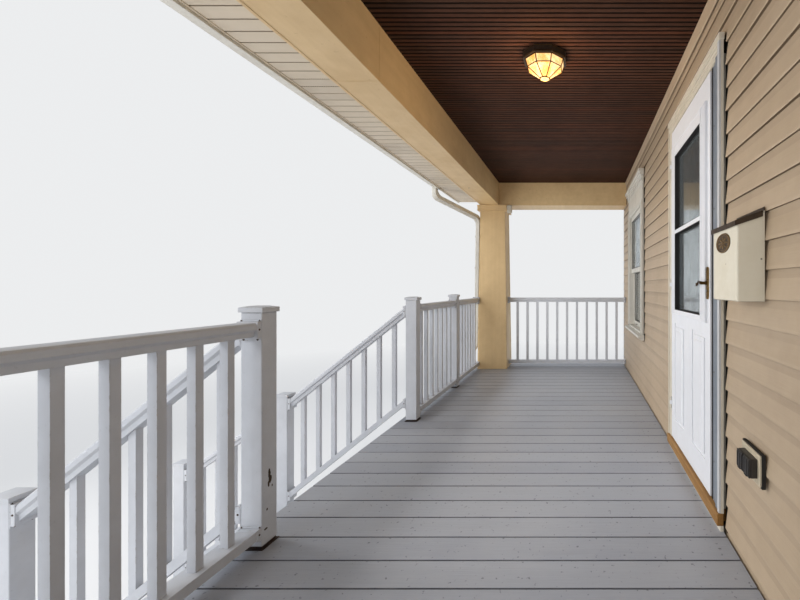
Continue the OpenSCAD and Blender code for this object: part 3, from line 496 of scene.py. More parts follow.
def deck_paint(name, colour, stretch):
    """Worn floor paint: scuffed pale in the walkway, dark dirt, wood grain that shows through, and painted
    shade on the boards' sides.
    """
    # The near-black second coat is painted shade on the sides of the boards, where the tone is below 0
    coats = [("tone", (128, 133, 146), 0.35), ("gaps", (46, 46, 50), 0.85),
             ("Streaks", (166, 169, 177), 0.28), ("Patches", (180, 181, 184), 0.4),
             ("Grain", (108, 112, 122), 0.22), ("Specks", (70, 70, 72), 0.7),
             ("Worn", (168, 160, 148), 0.6)]
    return coated(name, colour, coats, stretch, 1.3, "Patches", (0.36, 0.62), 0.0008)


def stained(name, colour, light, dark, stretch=UPRIGHT, sheen=(0.42, 0.62), gloss=0.3):
    """Stained wood with dark pores, lighter streaks, and painted shade in the grooves between boards."""
    # The near-black last coat is painted shade in the grooves, where the tone is below 0
    coats = [("tone", light, 0.55), ("Streaks", light, 0.35), ("Grain", dark, 0.6), ("Patches", dark, 0.35),
             ("gaps", (12, 8, 6), 0.85)]
    return coated(name, colour, coats, stretch, 3.0, "Grain", sheen, 0.0006, Specular_IOR_Level=gloss)


def embossed_vinyl(name, colour):
    """Siding with a low grain, patches of dirt, a tone of its own, and painted shadow under each lap."""
    coats = [("tone", (160, 140, 114), 0.3), ("Streaks", (183, 163, 138), 0.25),
             # The dark brown last coat is painted shadow under each lap's butt and painted shade on its
             # underside, where the tone is below 0
             ("Patches", (140, 120, 98), 0.3), ("gaps", (84, 66, 48), 0.85)]
    return coated(name, colour, coats, ACROSS_PORCH, 1.6, "Grain", (0.4, 0.6), 0.0007)


def metal(name, colour, shade, metallic, sheen):
    """Bare or lacquered metal with handling marks and tarnish."""
    coats = [("Patches", shade, 0.5), ("Streaks", shade, 0.25)]
    return coated(name, colour, coats, BRUSHED, 14.0, "Patches", sheen, 0.0002, Metallic=metallic)


def granules(name, colour):
    """Mineral granules in several greys, with a tone for each tab."""
    made = Surface(name, colour, 0.9)
    made.effect(grime, Size=1.2)
    grit = noise(made.tree, made.place, 900.0, 2.0, 0.8)
    made.coat("tone", (112, 106, 99), 0.65)
    made.coat(made.spread(grit, 0.5, 0.7), (150, 144, 136), 0.5)
    made.coat(made.spread(grit, 0.5, 0.3), (38, 36, 36), 0.5)
    made.coat("Patches", (60, 62, 56), 0.4)
    return made.done(grit, 0.0012)


def rough_masonry(name, colour):
    """Split-faced block: pitted, paler on the high spots of its relief, darker in its hollows, and blotched
    at random.
    """
    made = Surface(name, colour, 0.9)
    made.effect(grime, Size=2.2)
    pits = noise(made.tree, made.place, 95.0, 6.0, 0.7)
    made.coat("Patches", (112, 104, 96), 0.5)
    made.coat(made.spread(pits, 0.55, 0.75), (190, 184, 174), 0.45)
    made.coat(made.spread(pits, 0.45, 0.3), (84, 78, 72), 0.5)
    made.coat("tone", (150, 138, 124), 0.4)
    return made.done(pits, 0.004)


def perforated_vinyl(name, colour):
    """Soffit vinyl with rows of small round air holes, pressed in by a bump and painted dark as the shade
    inside them.
    """
    made = Surface(name, colour)
    spots = add_node(made.tree, "TexVoronoi", {"Scale": 95.0, "Randomness": 0.0, "Vector": made.place})
    holes = made.spread(spots.outputs["Distance"], 0.36, 0.28)
    made.effect(grime, Size=2.0)
    made.coat("Patches", (176, 164, 146), 0.35)
    # Painted shade in the air holes
    made.coat(holes, (70, 62, 54), 0.9)
    made.rough("Patches", 0.35, 0.55)
    return made.done(holes, -0.002)


def window_pane(name, tint):
    """Clear glass with a breath of dust that roughens it unevenly."""
    made = Surface(name, tint, Transmission_Weight=0.92, IOR=1.5)
    made.effect(grime, Size=5.0)
    made.rough("Patches", 0.04, 0.14)
    return made.done()


def lit_glass(name, colour):
    """Seeded amber glass, lit by the lamp behind it in uneven patches."""
    made = Surface(name, colour, 0.25, Transmission_Weight=0.35, IOR=1.5, Emission_Strength=0.9)
    made.effect(grime, Size=22.0)
    patches = made.mask("Patches")
    made.coat("Patches", (255, 222, 150), 0.7)
    glow = mix_colours(made.tree, patches, (*srgb(238, 178, 92), 1.0), (*srgb(255, 240, 200), 1.0))
    made.tree.links.new(glow, made.bsdf.inputs["Emission Color"])
    return made.done(patches, 0.002)


BARE_WOOD = (122, 104, 84)
# For each finish: the function that makes it, its base colour, which may be one of PorchColours, and
# what else that function takes
FINISHES = {
    # The railings' white is darker and bluer than the white paint: partly weathering, partly painted sky
    # shade
    "white_rail": (painted, (202, 205, 211), dict(shade=(176, 178, 182), worn=BARE_WOOD, dirt=0.4)),
    "white_trim": (painted, "white", dict(shade=(186, 180, 170), stretch=UPRIGHT, dirt=0.3)),
    # The window casings' white is dimmer and warmer than the white paint: partly dirt, partly painted shade
    "casing_white": (painted, (210, 207, 198), dict(shade=(172, 166, 152), stretch=UPRIGHT)),
    "white_door": (painted, "white", dict(shade=(196, 194, 190), stretch=UPRIGHT, dirt=0.16,
                                          relief=0.0001)),
    "white_boards": (painted, "white", dict(shade=(160, 152, 140), stretch=UPRIGHT, dirt=0.5,
                                            worn=BARE_WOOD)),
    # Cream, dimmer and warmer than the white paint; on the door casing it is partly painted warm lamp light
    # and shade
    "cream_trim": (painted, (212, 205, 190), dict(shade=(178, 169, 148), stretch=UPRIGHT, dirt=0.3)),
    "grey_strip": (painted, (126, 133, 142), dict(shade=(84, 90, 98), stretch=UPRIGHT, dirt=0.5)),
    "pale_strip": (painted, (196, 198, 200), dict(shade=(148, 150, 152), stretch=UPRIGHT, dirt=0.4)),
    "sheet_white": (painted, (226, 224, 216), dict(shade=(170, 164, 152), stretch=UPRIGHT, dirt=0.4)),
    "tan_clad": (painted, "tan", dict(shade=(178, 146, 101), stretch=UPRIGHT, dirt=0.3, size=1.1,
                                      sheen=(0.42, 0.6))),
    "tan_beam": (painted, "tan", dict(shade=(178, 144, 99), stretch=ACROSS_PORCH, size=0.9,
                                      sheen=(0.42, 0.6))),
    # Its tone darkens planks at random and paints shade into their grooves
    "soffit_vinyl": (painted, "soffit", dict(shade=(187, 174, 154), stretch=FROM_WALL, dirt=0.3,
                                             tone=0.25)),
    "soffit_vented": (perforated_vinyl, (200, 188, 169), {}),
    "siding_vinyl": (embossed_vinyl, "siding", {}),
    "cream_enamel": (painted, "mailbox", dict(shade=(196, 186, 160), dirt=0.3, size=5.0)),
    "beige_moulded": (painted, (202, 190, 166), dict(shade=(150, 138, 116), dirt=0.4, size=8.0)),
    "black_moulded": (painted, (34, 33, 33), dict(shade=(78, 74, 70), dirt=0.4, size=12.0)),
    # Black for gaskets and beads, and for painted shade in openings and holes
    "gasket_black": (painted, (28, 28, 29), dict(shade=(60, 58, 56), dirt=0.3, sheen=(0.6, 0.8))),
    "felt_paper": (painted, (34, 32, 31), dict(shade=(54, 50, 46), dirt=0.6, sheen=MATT)),
    "wall_plaster": (painted, (206, 202, 194), dict(shade=(170, 164, 154), dirt=0.4, sheen=MATT)),
    # Painted shade for the rooms behind the windows
    "dark_room": (painted, (30, 28, 27), dict(shade=(58, 52, 46), dirt=0.6, sheen=MATT)),
    "deck_boards": (deck_paint, "deck", dict(stretch=FROM_WALL)),
    "tread_boards": (deck_paint, "deck", dict(stretch=ACROSS_PORCH)),
    "ceiling_stain": (stained, "ceiling", dict(light=(112, 64, 42), dark=(20, 12, 9), stretch=FROM_WALL,
                                               sheen=(0.55, 0.75), gloss=0.1)),
    "entry_stain": (stained, (58, 36, 26), dict(light=(92, 58, 38), dark=(24, 14, 10))),
    "sill_varnish": (stained, (156, 114, 62), dict(light=(202, 160, 98), dark=(92, 62, 34),
                                                   stretch=ACROSS_PORCH)),
    "sawn_timber": (stained, (150, 130, 104), dict(light=(178, 160, 132), dark=(104, 86, 64),
                                                   stretch=ACROSS_PORCH, sheen=(0.6, 0.8))),
    "chipped_wood": (stained, (74, 58, 44), dict(light=(128, 104, 78), dark=(32, 26, 22),
                                                 sheen=(0.7, 0.9))),
    "shingle_grit": (granules, (78, 74, 71), {}),
    "block_stone": (rough_masonry, (150, 142, 132), {}),
    "mortar": (rough_masonry, (124, 118, 110), {}),
    "steel_plate": (metal, (74, 72, 70), dict(shade=(96, 62, 42), metallic=0.8, sheen=(0.4, 0.7))),
    "dark_screw": (metal, (72, 64, 58), dict(shade=(112, 78, 54), metallic=0.6, sheen=(0.4, 0.7))),
    "screw_steel": (metal, (150, 148, 142), dict(shade=(96, 74, 56), metallic=0.9, sheen=(0.3, 0.6))),
    "aged_brass": (metal, (168, 134, 80), dict(shade=(82, 60, 38), metallic=1.0, sheen=(0.22, 0.5))),
    "dark_brass": (metal, (118, 88, 52), dict(shade=(56, 40, 28), metallic=1.0, sheen=(0.28, 0.5))),
    "lamp_brass": (metal, (104, 76, 42), dict(shade=(40, 30, 22), metallic=0.9, sheen=(0.3, 0.5))),
    "bronze_enamel": (metal, (52, 44, 38), dict(shade=(90, 74, 56), metallic=0.35, sheen=(0.3, 0.55))),
    "medallion_bronze": (metal, (150, 122, 84), dict(shade=(62, 50, 36), metallic=0.5, sheen=(0.3, 0.6))),
    "pane_glass": (window_pane, (205, 214, 216), {}),
    "lit_amber": (lit_glass, (214, 150, 62), {}),
}


def finish(name):
    """The material of that name, made on its first use."""
    made = bpy.data.materials.get(name)
    if made:
        return made
    maker, base, more = FINISHES[name]
    colour = getattr(bpy.context.scene.porch_colours, base) if isinstance(base, str) else srgb(*base)
    return maker(name, colour, **more)


def colour_choice(name, what, *rgb):
    """A base colour that a user may change, given as on screen."""
    return FloatVectorProperty(name=name, description="Colour of the " + what, subtype='COLOR',
                               default=srgb(*rgb), min=0, max=1)


def length_choice(name, description, default):
    """A length in metres that a user may change."""
    return FloatProperty(name=name, description=description, default=default, unit='LENGTH')


class PorchColours(bpy.types.PropertyGroup):
    """Base colours of the main finishes"""

    siding: colour_choice("Siding", "lapped siding", 177, 158, 134)
    tan: colour_choice("Columns and beams", "clad columns and beams", 227, 198, 150)
    white: colour_choice("White paint", "doors, skirt and corner boards", 222, 224, 229)
    deck: colour_choice("Deck paint", "deck boards and treads", 161, 164, 171)
    ceiling: colour_choice("Ceiling stain", "ceiling boards", 79, 56, 44)
    soffit: colour_choice("Soffit", "soffit panels", 213, 200, 179)
    mailbox: colour_choice("Mailbox", "mailbox enamel", 212, 206, 189)


class PorchSizes(bpy.types.PropertyGroup):
    """Sizes of the repeated boards and laps"""

    lap: length_choice("Siding lap", "Height of one lap of siding", 0.0995)
    board: length_choice("Deck board", "Distance from one deck board to the next", 0.155)
    board_gap: length_choice("Deck gap", "Open gap between two deck boards", 0.0065)
    bead: length_choice("Ceiling board", "Width of one ceiling board", 0.0365)
    soffit_plank: length_choice("Soffit plank", "Width of one soffit plank", 0.0893)
    shingle: length_choice("Shingle course", "Exposed height of one shingle course", 0.136)
    key: FloatProperty(name="Key light", description="Strength of the soft sun", default=0.65)


class PORCH_OT_stage(bpy.types.Operator):
    """Sets the floor, the soft lights, the pale background and the camera"""

    bl_idname = "porch.stage"
    bl_label = "Stage"

    NEUTRAL, WARM, COOL, AMBER = (1, 1, 1), (1.0, 0.9, 0.76), (0.95, 0.97, 1.0), (1.0, 0.72, 0.42)
    # For each area light: its place, what it points at, watts, size, colour and spread
    LIGHTS = {
        "fill_left": ((-9.0, 1.6, 1.8), (0, 0.6, 1.0), 82, (4.0, 4.0), NEUTRAL, 140),
        "fill_right": ((9.0, 1.4, 1.6), (0, 0.6, 1.0), 91, (4.0, 4.0), NEUTRAL, 140),
        "sky_right": ((10.0, 8.5, 7.0), (0.0, 1.9, 0.8), 440, (4.0, 4.0), COOL, 180),
        "fill_front": ((0.8, 8.0, 1.8), (0.4, 0.5, 0.9), 115, (6.0, 3.2), NEUTRAL, 140),
        "inside": ((0, 1.5, 1.1), (0, 0, 1.1), 27, (5.6, 1.6), NEUTRAL, 180),
        "bounce": ((-0.4, 5.8, -1.2), (-0.4, 5.7, 1.0), 105, (6.0, 2.4), WARM, 180),
    }

    def execute(self, context):
        scene = context.scene
        scene.view_settings.view_transform = 'Standard'
        self.lay_floor(scene)
        self.light_world(scene)
        sun = self.add_lamp(scene, "key", 'SUN', scene.porch_sizes.key, (1.0, 0.96, 0.9))
        sun.data.angle = math.radians(14)
        sun.rotation_euler = [math.radians(a) for a in (52, 0, -18)]
        for name, (place, aim, watts, size, colour, spread) in self.LIGHTS.items():
            made = self.add_lamp(scene, name, 'AREA', watts, colour)
            made.data.shape = 'RECTANGLE'
            made.data.spread = math.radians(spread)
            made.data.size, made.data.size_y = size
            made.visible_glossy = made.visible_camera = False
            made.location = at(*place)
            made.rotation_euler = (at(*aim) - at(*place)).to_track_quat('-Z', 'Y').to_euler()
        glow = self.add_lamp(scene, "lamp_glow", 'POINT', 7, self.AMBER)
        glow.data.shadow_soft_size = 0.1
        glow.visible_glossy = glow.visible_camera = False
        glow.location = at(0.088, 0.826, 2.20)
        self.add_camera(scene)
        return {'FINISHED'}

    def lay_floor(self, scene):
        """A wide matt disc that shows as the background far away from the porch."""
        bm = bmesh.new()
        bmesh.ops.create_circle(bm, cap_ends=True, segments=96, radius=90.0)
        mesh = bpy.data.meshes.new("floor")
        bm.to_mesh(mesh)
        bm.free()
        floor = bpy.data.objects.new("floor", mesh)
        scene.collection.objects.link(floor)
        matt = Surface("pale_floor", (0.74, 0.74, 0.74), 0.9)
        mesh.materials.append(matt.done())
        tree = matt.tree
        reach = add_node(tree, "VectorMath", {0: matt.place}, operation='LENGTH').outputs["Value"]
        far = maths(tree, 'MULTIPLY', spread_out(tree, reach, 5.0, 16.0),
                    add_node(tree, "LightPath").outputs["Is Camera Ray"])
        pale = add_node(tree, "Emission", {"Color": PALE})
        mix = add_node(tree, "MixShader", {0: far, 1: matt.bsdf.outputs[0], 2: pale.outputs[0]})
        tree.links.new(mix.outputs[0], tree.nodes["Material Output"].inputs["Surface"])

    def light_world(self, scene):
        """Soft sky light, dimmer in gloss, with the pale background where it is seen."""
        world = bpy.data.worlds.new("pale_world")
        scene.world = world
        world.use_nodes = True
        tree = world.node_tree
        tree.nodes.clear()
        rays = add_node(tree, "LightPath").outputs
        seen = maths(tree, 'MAXIMUM', rays["Is Camera Ray"], rays["Is Transmission Ray"])
        strength = maths(tree, 'ADD', maths(tree, 'MULTIPLY', rays["Is Glossy Ray"], -0.40), 0.75)
        lit = add_node(tree, "Background", {"Color": (0.9, 0.94, 1.0, 1), "Strength": strength})
        shown = add_node(tree, "Background", {"Color": PALE, "Strength": 1.0})
        mix = add_node(tree, "MixShader", {0: seen, 1: lit.outputs[0], 2: shown.outputs[0]})
        add_node(tree, "OutputWorld", {"Surface": mix.outputs[0]})

    def add_lamp(self, scene, name, kind, power, colour):
        """A light of that name, still at the origin."""
        lamp = bpy.data.lights.new(name, kind)
        lamp.energy = power
        lamp.color = colour
        made = bpy.data.objects.new(name, lamp)
        scene.collection.objects.link(made)
        return made

    def add_camera(self, scene):
        """The photograph's camera, near the house wall and looking along the porch."""
        lens = bpy.data.cameras.new("camera")
        lens.lens, lens.sensor_width = 19.14, 36.0
        lens.shift_x, lens.shift_y = -0.2225, -0.0162
        made = bpy.data.objects.new("camera", lens)
        made.location = at(2.579, 0.632, 1.061)
        made.rotation_euler = (math.radians(90), 0, math.radians(90))
        scene.collection.objects.link(made)
        scene.camera = made


def free_spans(x0, x1, z0, z1, holes):
    """Cells of a course of siding that no hole covers, as (x0, x1, z0, z1)."""
    cuts = sorted({x0, x1} | {x for h in holes for x in h[:2] if x0 < x < x1})
    for a, b in zip(cuts, cuts[1:]):
        bands = [(z0, z1)]
        for hx0, hx1, hz0, hz1 in holes:
            if hx0 <= a and b <= hx1:
                bands = [part for low, high in bands
                         for part in ((low, min(high, hz0)), (max(low, hz1), high))
                         if part[1] - part[0] > 0.002]
        for low, high in bands:
            yield a, b, low, high


class PORCH_OT_siding(bpy.types.Operator):
    """Covers the house wall with lapped siding over felt, studs and plaster"""

    bl_idname = "porch.siding"
    bl_label = "Siding"

    END, BAY = 3.3, (-0.255, 0.696)   # half the wall's length, and both sides of the door's bay
    FOOT, HEAD = -0.274, 3.206        # lower and upper edge of the wall above the deck
    SKIN, LEAN = 0.022, 0.013         # depth of the siding, and how far each lap leans
    GAP = 0.018                       # the laps end this far from a casing
    LAYERS = (("felt", SKIN, 0.030, "felt_paper", "siding"),
              ("studs", 0.030, 0.155, "sawn_timber", "framing"),
              ("plaster", 0.155, 0.170, "wall_plaster", "siding"))

    def execute(self, context):
        gap, lap = self.GAP, context.scene.porch_sizes.lap
        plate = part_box("window_casings")[1].x - 0.027
        casing = (2 * WINDOW - plate - gap, plate + gap, 0.548 - gap, 2.110)
        door0, door1 = limits("door_casing")[:2]
        entry = (door0 + 0.009 - gap, door1 - 0.009 + gap, 0.0, 2.162)
        framed = (1.594, 2.526, 0.594, 1.901)     # the window's opening in the studs
        on_the_left = lambda hole: (-hole[1], -hole[0], *hole[2:])
        walls = {
            "wall_left": (-self.END, self.BAY[0], [on_the_left(casing), entry], on_the_left(framed)),
            "wall_right": (self.BAY[1], self.END, [casing, entry], framed),
            "wall_door_bay": (*self.BAY, [entry], (*self.BAY, 0.024, 2.097)),
        }
        for node, (x0, x1, holes, opening) in walls.items():
            self.lay_laps(node, x0, x1, holes, lap)
            for name, near, far, material, slot in self.LAYERS:
                bm = bmesh.new()
                for a, b, low, high in free_spans(x0, x1, self.FOOT, self.HEAD, [opening]):
                    add_block(bm, a, b, -far, -near, low, high)
                piece(f"{node}_{name}", bm, material, replaces=[node])
        trim = bmesh.new()
        along_x(trim, [(0.0, 2.358), (0.006, 2.358), (0.010, 2.362), (0.011, 2.385), (0.016, 2.400),
                       (0.018, 2.410), (0.018, 2.417), (0.0, 2.417)], -2.955, 2.955)
        piece("ceiling_trim", trim, "siding_vinyl")
        return {'FINISHED'}

    def lay_laps(self, node, x0, x1, holes, lap):
        """Leaning courses round the holes, with a painted highlight along each foot, painted shadow under
        the next course and painted shade on each underside.
        """
        bm, dice = toned_mesh(), random.Random(len(node))
        for i in range(math.ceil((self.HEAD - self.FOOT) / lap)):
            low = self.FOOT + i * lap
            high = min(low + lap, self.HEAD)
            reach = 0.0 if i % 2 else -0.003
            front = lambda z: reach - (z - low) * (self.LEAN + reach) / lap
            shade = dice.random()
            for a, b, z0, z1 in free_spans(x0, x1, low, high, holes):
                if z1 - z0 < 0.004:
                    continue
                levels = [z for z in (low + 0.011, high - 0.030) if z0 + 0.004 < z < z1 - 0.001]
                section = [(-self.SKIN, z0), (front(z0) - 0.002, z0), (front(z0), z0 + 0.003),
                           *[(front(z), z) for z in levels], (front(z1), z1), (-self.SKIN, z1)]
                verts = along_x(bm, section, a, b)
                tone_faces(bm, verts, shade)
                # Painted highlight along each lap's foot, painted shadow just under the next course's butt,
                # and painted shade on the underside
                tone_faces(bm, verts, 0.0, lambda f: max(heights(f)) < low + 0.0115)
                tone_faces(bm, verts, -0.17, lambda f: min(heights(f)) > high - 0.0305)
                tone_faces(bm, verts, -1.0, lambda f: max(heights(f)) < z0 + 1e-5)
        piece(f"{node}_laps", bm, "siding_vinyl", replaces=[node])


class PORCH_OT_deck(bpy.types.Operator):
    """Lays the deck boards, treads and risers, and eases the boards round the deck"""

    bl_idname = "porch.deck"
    bl_label = "Deck and stairs"

    def execute(self, context):
        sizes = context.scene.porch_sizes
        x0, x1, _, reach, under, _ = limits("deck_floor")
        count = round((x1 - x0) / sizes.board)
        pitch, half_gap, soft = (x1 - x0) / count, sizes.board_gap / 2, 0.003
        bm, dice = toned_mesh(), random.Random(7)
        for i in range(count):
            a = x0 + i * pitch + (half_gap if i else 0)
            b = x0 + (i + 1) * pitch - (half_gap if i < count - 1 else 0)
            section = [(a, under), (b, under), (b, -soft), (b - soft * 0.3, -soft * 0.3), (b - soft, 0),
                       (a + soft, 0), (a + soft * 0.3, -soft * 0.3), (a, -soft)]
            verts = along_out(bm, section, 0.0, reach)
            tone_faces(bm, verts, dice.random())
            # Painted shade on each board's sides and underside, seen between the boards
            tone_faces(bm, verts, -1.0, lambda f: max(heights(f)) < -0.0005
                       and x0 + 0.01 < f.calc_center_median().x < x1 - 0.01)
        nose = [e for e in bm.edges if all(abs(v.co.y - WALL_Y + reach) < 1e-5 and v.co.z > DECK_Z - 0.005
                                           for v in e.verts)]
        ease(bm, soft, 1, nose)
        piece("deck_boards", bm, "deck_boards", replaces=["deck_floor"])
        eased_node("stair_treads", "tread_boards", 0.007, 3)
        for node, width in (("stair_risers", 0.002), ("deck_fascia", 0.003), ("skirt_front", 0.002),
                            ("skirt_ends", 0.002)):
            eased_node(node, "white_boards", width, 1)
        eased_node("stair_stringers", "sawn_timber", 0.002, 1)
        paint_node("deck_frame", "sawn_timber")
        return {'FINISHED'}


class PORCH_OT_railings(bpy.types.Operator):
    """Makes the posts with their caps and foot plates, and eases the rails and balusters"""

    bl_idname = "porch.railings"
    bl_label = "Railings"

    STAIR_X = 0.820    # middle of the right stair railing along the porch
    POSTS = ((STAIR_X, RAIL_OUT, 0.0, 0.958), (1.942, RAIL_OUT, 0.0, 0.958),
             (STAIR_X, 2.971, -0.768, 0.958), (STAIR_X, 3.786, -1.344, 0.990))   # x, out, foot, height

    def execute(self, context):
        shafts, plates, cups, screws = new_meshes(4)
        for x, out, foot, height in self.POSTS:
            self.add_post(shafts, x, out, foot, height)
            add_square(plates, x, out, 0.049, foot, foot + 0.003)
            add_square(plates, x, out, 0.040, foot + 0.003, foot + 0.012)
        self.add_cups(cups, screws)
        ease(cups, 0.0015)
        mirrored(shafts, plates, cups, screws)
        piece("posts", shafts, "white_rail", replaces=["deck_posts", "stair_posts"])
        piece("post_foot_plates", plates, "steel_plate")
        for node in ("rail_front_left", "rail_front_right", "rail_ends", "stair_rail_left",
                     "stair_rail_right"):
            eased_node(node, "white_rail", 0.0025)
        piece("rail_brackets", cups, "white_rail")
        piece("rail_screws", screws, "dark_screw")
        self.chip_paint()
        return {'FINISHED'}

    def add_post(self, bm, x, out, foot, height):
        """A square post with a flat cap that rises to a low block in its middle."""
        half, cap, head = 0.043, 0.050, foot + height
        bar = bmesh.new()
        add_square(bar, x, out, half, foot + 0.012, head)
        ease(bar, 0.004)
        verts = add_square(bar, x, out, cap, head, head + 0.020)
        rim = list({e for v in verts for e in v.link_edges})
        top = max({f for v in verts for f in v.link_faces}, key=lambda f: f.calc_center_median().z)
        rise = bmesh.ops.extrude_discrete_faces(bar, faces=[top])["faces"][0]
        bmesh.ops.translate(bar, vec=(0, 0, 0.006), verts=rise.verts)
        bmesh.ops.scale(bar, vec=(0.5, 0.5, 1), verts=rise.verts,
                        space=Matrix.Translation(-rise.calc_center_median()))
        ease(bar, 0.0015, 2, [e for e in rim if e.is_valid])
        move_into(bm, bar)

    def add_cups(self, cups, screws):
        """Cup brackets that hold both rails of each section against the posts, columns and wall."""
        for x, out, way, deeper in (
                (0.863, RAIL_OUT, (1, 0), 0.0), (1.899, RAIL_OUT, (-1, 0), 0.0),
                (1.985, RAIL_OUT, (1, 0), 0.0), (2.930, RAIL_OUT, (-1, 0), 0.010),
                (COLUMN[0], 0.0, (0, 1), 0.0), (COLUMN[0], 1.561, (0, -1), 0.010)):
            self.add_cup(cups, screws, x, out, way, 0.858, 0.923, deeper)
            self.add_cup(cups, screws, x, out, way, 0.046, 0.090, deeper * 0.3)
        for out, way, top in ((1.993, 1, 0.915), (2.928, -1, 0.165), (3.014, 1, 0.100),
                              (3.743, -1, -0.400)):
            reach = 0.010 * way
            for rail, below, above in ((top, 0.078, 0.006), (top - 0.735, 0.062, 0.004)):
                self.add_cup(cups, screws, self.STAIR_X, out, (0, way), rail - below - reach,
                             rail + above - reach, 0)

    def add_cup(self, cups, screws, x, out, way, low, high, deeper):
        """One bracket: a plate on the post, a cup round the rail's end, and its screws."""
        wx, wo = way
        for start, end, half, z0, z1 in ((-deeper, 0.004, 0.0428, low - 0.013, high + 0.007),
                                         (0.004, 0.022, 0.0425, low - 0.004, high)):
            xs = (x + wx * start, x + wx * end) if wx else (x - half, x + half)
            outs = (out + wo * start, out + wo * end) if wo else (out - half, out + half)
            add_block(cups, *sorted(xs), *sorted(outs), z0, z1)
        for side in SIDES:
            for along, z, radius in ((0.028, low - 0.0085, 0.0048), (0.0364, high + 0.0015, 0.0042)):
                along *= side
                add_screw(screws, at(x + wx * 0.004 + wo * along, out + wo * 0.004 + wx * along, z),
                          (wx, -wo, 0), radius)
            across = 0.0425 * side
            add_screw(screws, at(x + wx * 0.013 + abs(wo) * across, out + wo * 0.013 + abs(wx) * across,
                                 (low + high) / 2), (side if wo else 0, -side if wx else 0, 0), 0.0045)

    def chip_paint(self):
        """Small bare patches where the paint has flaked off the newels' house side."""
        flakes, dice = bmesh.new(), random.Random(21)
        for x, z, width, height in ((0.822, 0.292, 0.007, 0.020), (0.817, 0.268, 0.009, 0.016),
                                    (0.826, 0.250, 0.005, 0.012), (0.806, 0.236, 0.003, 0.006),
                                    (0.835, 0.150, 0.004, 0.005), (0.842, 0.074, 0.010, 0.004)):
            spot = at(x, 1.9072, z)
            verts = add_disc(flakes, spot, (0, 1, 0), 1.0, 0.0005, 9)
            bmesh.ops.scale(flakes, vec=(width, 1, height), verts=verts, space=Matrix.Translation(-spot))
            for v in verts:
                v.co += Vector((dice.uniform(-1, 1) * width, 0, dice.uniform(-1, 1) * height)) * 0.2
        piece("paint_chips", flakes, "chipped_wood")


class PORCH_OT_columns(bpy.types.Operator):
    """Eases the clad columns and beams and adds their metal laps"""

    bl_idname = "porch.columns"
    bl_label = "Columns and beams"

    HEM = 2.1235, 2.130    # lower and upper edge of the beams' hems

    def execute(self, context):
        for material, width, nodes in (("tan_clad", 0.005, ("column_left", "column_right")),
                                       ("tan_beam", 0.004, ("beam_front", "beam_ends"))):
            for node in nodes:
                eased_node(node, material, width)
        self.trim_columns()
        self.trim_beams()
        return {'FINISHED'}

    def trim_columns(self):
        """Corner strips on the house side, two bands at the cap, and the cream block beside it."""
        strips, blocks = new_meshes(2)
        half, taper = 0.190, 0.030     # half the column's foot, and what its head is narrower by
        near = COLUMN[1] - half
        for side in SIDES:
            edge = COLUMN[0] + side * half
            for xs, outs in (((edge, edge + side * 0.003), (near, near + 0.036)),
                             ((edge - side * 0.036, edge + side * 0.003), (near - 0.003, near))):
                verts = add_block(strips, *sorted(xs), *outs, 0.002, 2.054)
                top = [v for v in verts if v.co.z > DECK_Z + 1]
                bmesh.ops.translate(strips, verts=top, vec=(-side * taper, -taper, 0))
        ease(strips, 0.001, 1)
        for z0, z1 in ((2.056, 2.066), (2.112, 2.1255)):
            add_ring_around(strips, COLUMN, half, 0.003, z0, z1)
        add_block(blocks, 2.928, 2.964, 1.490, 1.554, 2.020, 2.124)
        ease(blocks, 0.008, 3)
        mirrored(strips, blocks)
        piece("column_strips", strips, "tan_clad")
        piece("column_side_blocks", blocks, "cream_trim")

    def trim_beams(self):
        """Hems along the beams' lower edges, lapped sheet seams, and a black disc painted as the shade of a
        vent hole.
        """
        hems, ends, hole = new_meshes(3)
        for out0, out1 in ((1.6585, 1.6735), (1.8845, 1.8995)):
            add_slab(hems, 0.0, 2.920, out0, out1, *self.HEM)
        for x in (-2.2, 0.35, 2.2):
            for out0, out1, z1 in ((1.6585, 1.8995, 2.1262), (1.6585, 1.6602, 2.417),
                                   (1.8978, 1.8995, 2.229)):
                add_block(hems, x, x + 0.030, out0, out1, BEAM_FOOT, z1)
        for x0, x1 in ((2.956, 2.969), (3.261, 3.274)):
            add_block(ends, x0, x1, 0.002, 1.552, *self.HEM)
        mirrored(ends)
        for name, bm in (("beam_hems", hems), ("end_beam_hems", ends)):
            ease(bm, 0.0008, 1)
            piece(name, bm, "tan_beam")
        # A black disc on the beam: painted shade of a vent hole
        add_disc(hole, at(-1.993, 1.805, 2.1262), (0, 0, -1), 0.0075, 0.0008, 14)
        piece("beam_vent_hole", hole, "gasket_black")


class PORCH_OT_ceiling(bpy.types.Operator):
    """Boards the ceiling with narrow beaded strips"""

    bl_idname = "porch.ceiling"
    bl_label = "Ceiling"

    def execute(self, context):
        x0, x1, _, reach, b, t = limits("ceiling_panel")
        count = round((x1 - x0) / context.scene.porch_sizes.bead)
        w = (x1 - x0) / count
        bm, dice = toned_mesh(), random.Random(11)
        for i in range(count):
            x = x0 + i * w
            section = [(x, t), (x, b + 0.005), (x + 0.0025, b + 0.0005), (x + 0.004, b),
                       (x + w - 0.009, b), (x + w - 0.008, b + 0.003), (x + w - 0.006, b + 0.0007),
                       (x + w - 0.003, b + 0.0007), (x + w, b + 0.005), (x + w, t)]
            verts = along_out(bm, section, 0.0, reach)
            tone_faces(bm, verts, dice.random() ** 2)
            # Painted shade in the groove and on the hidden sides of each board
            tone_faces(bm, verts, -1.0, lambda f: max(heights(f)) > b + 1e-5)
        piece("ceiling_boards", bm, "ceiling_stain", replaces=["ceiling_panel"])
        return {'FINISHED'}


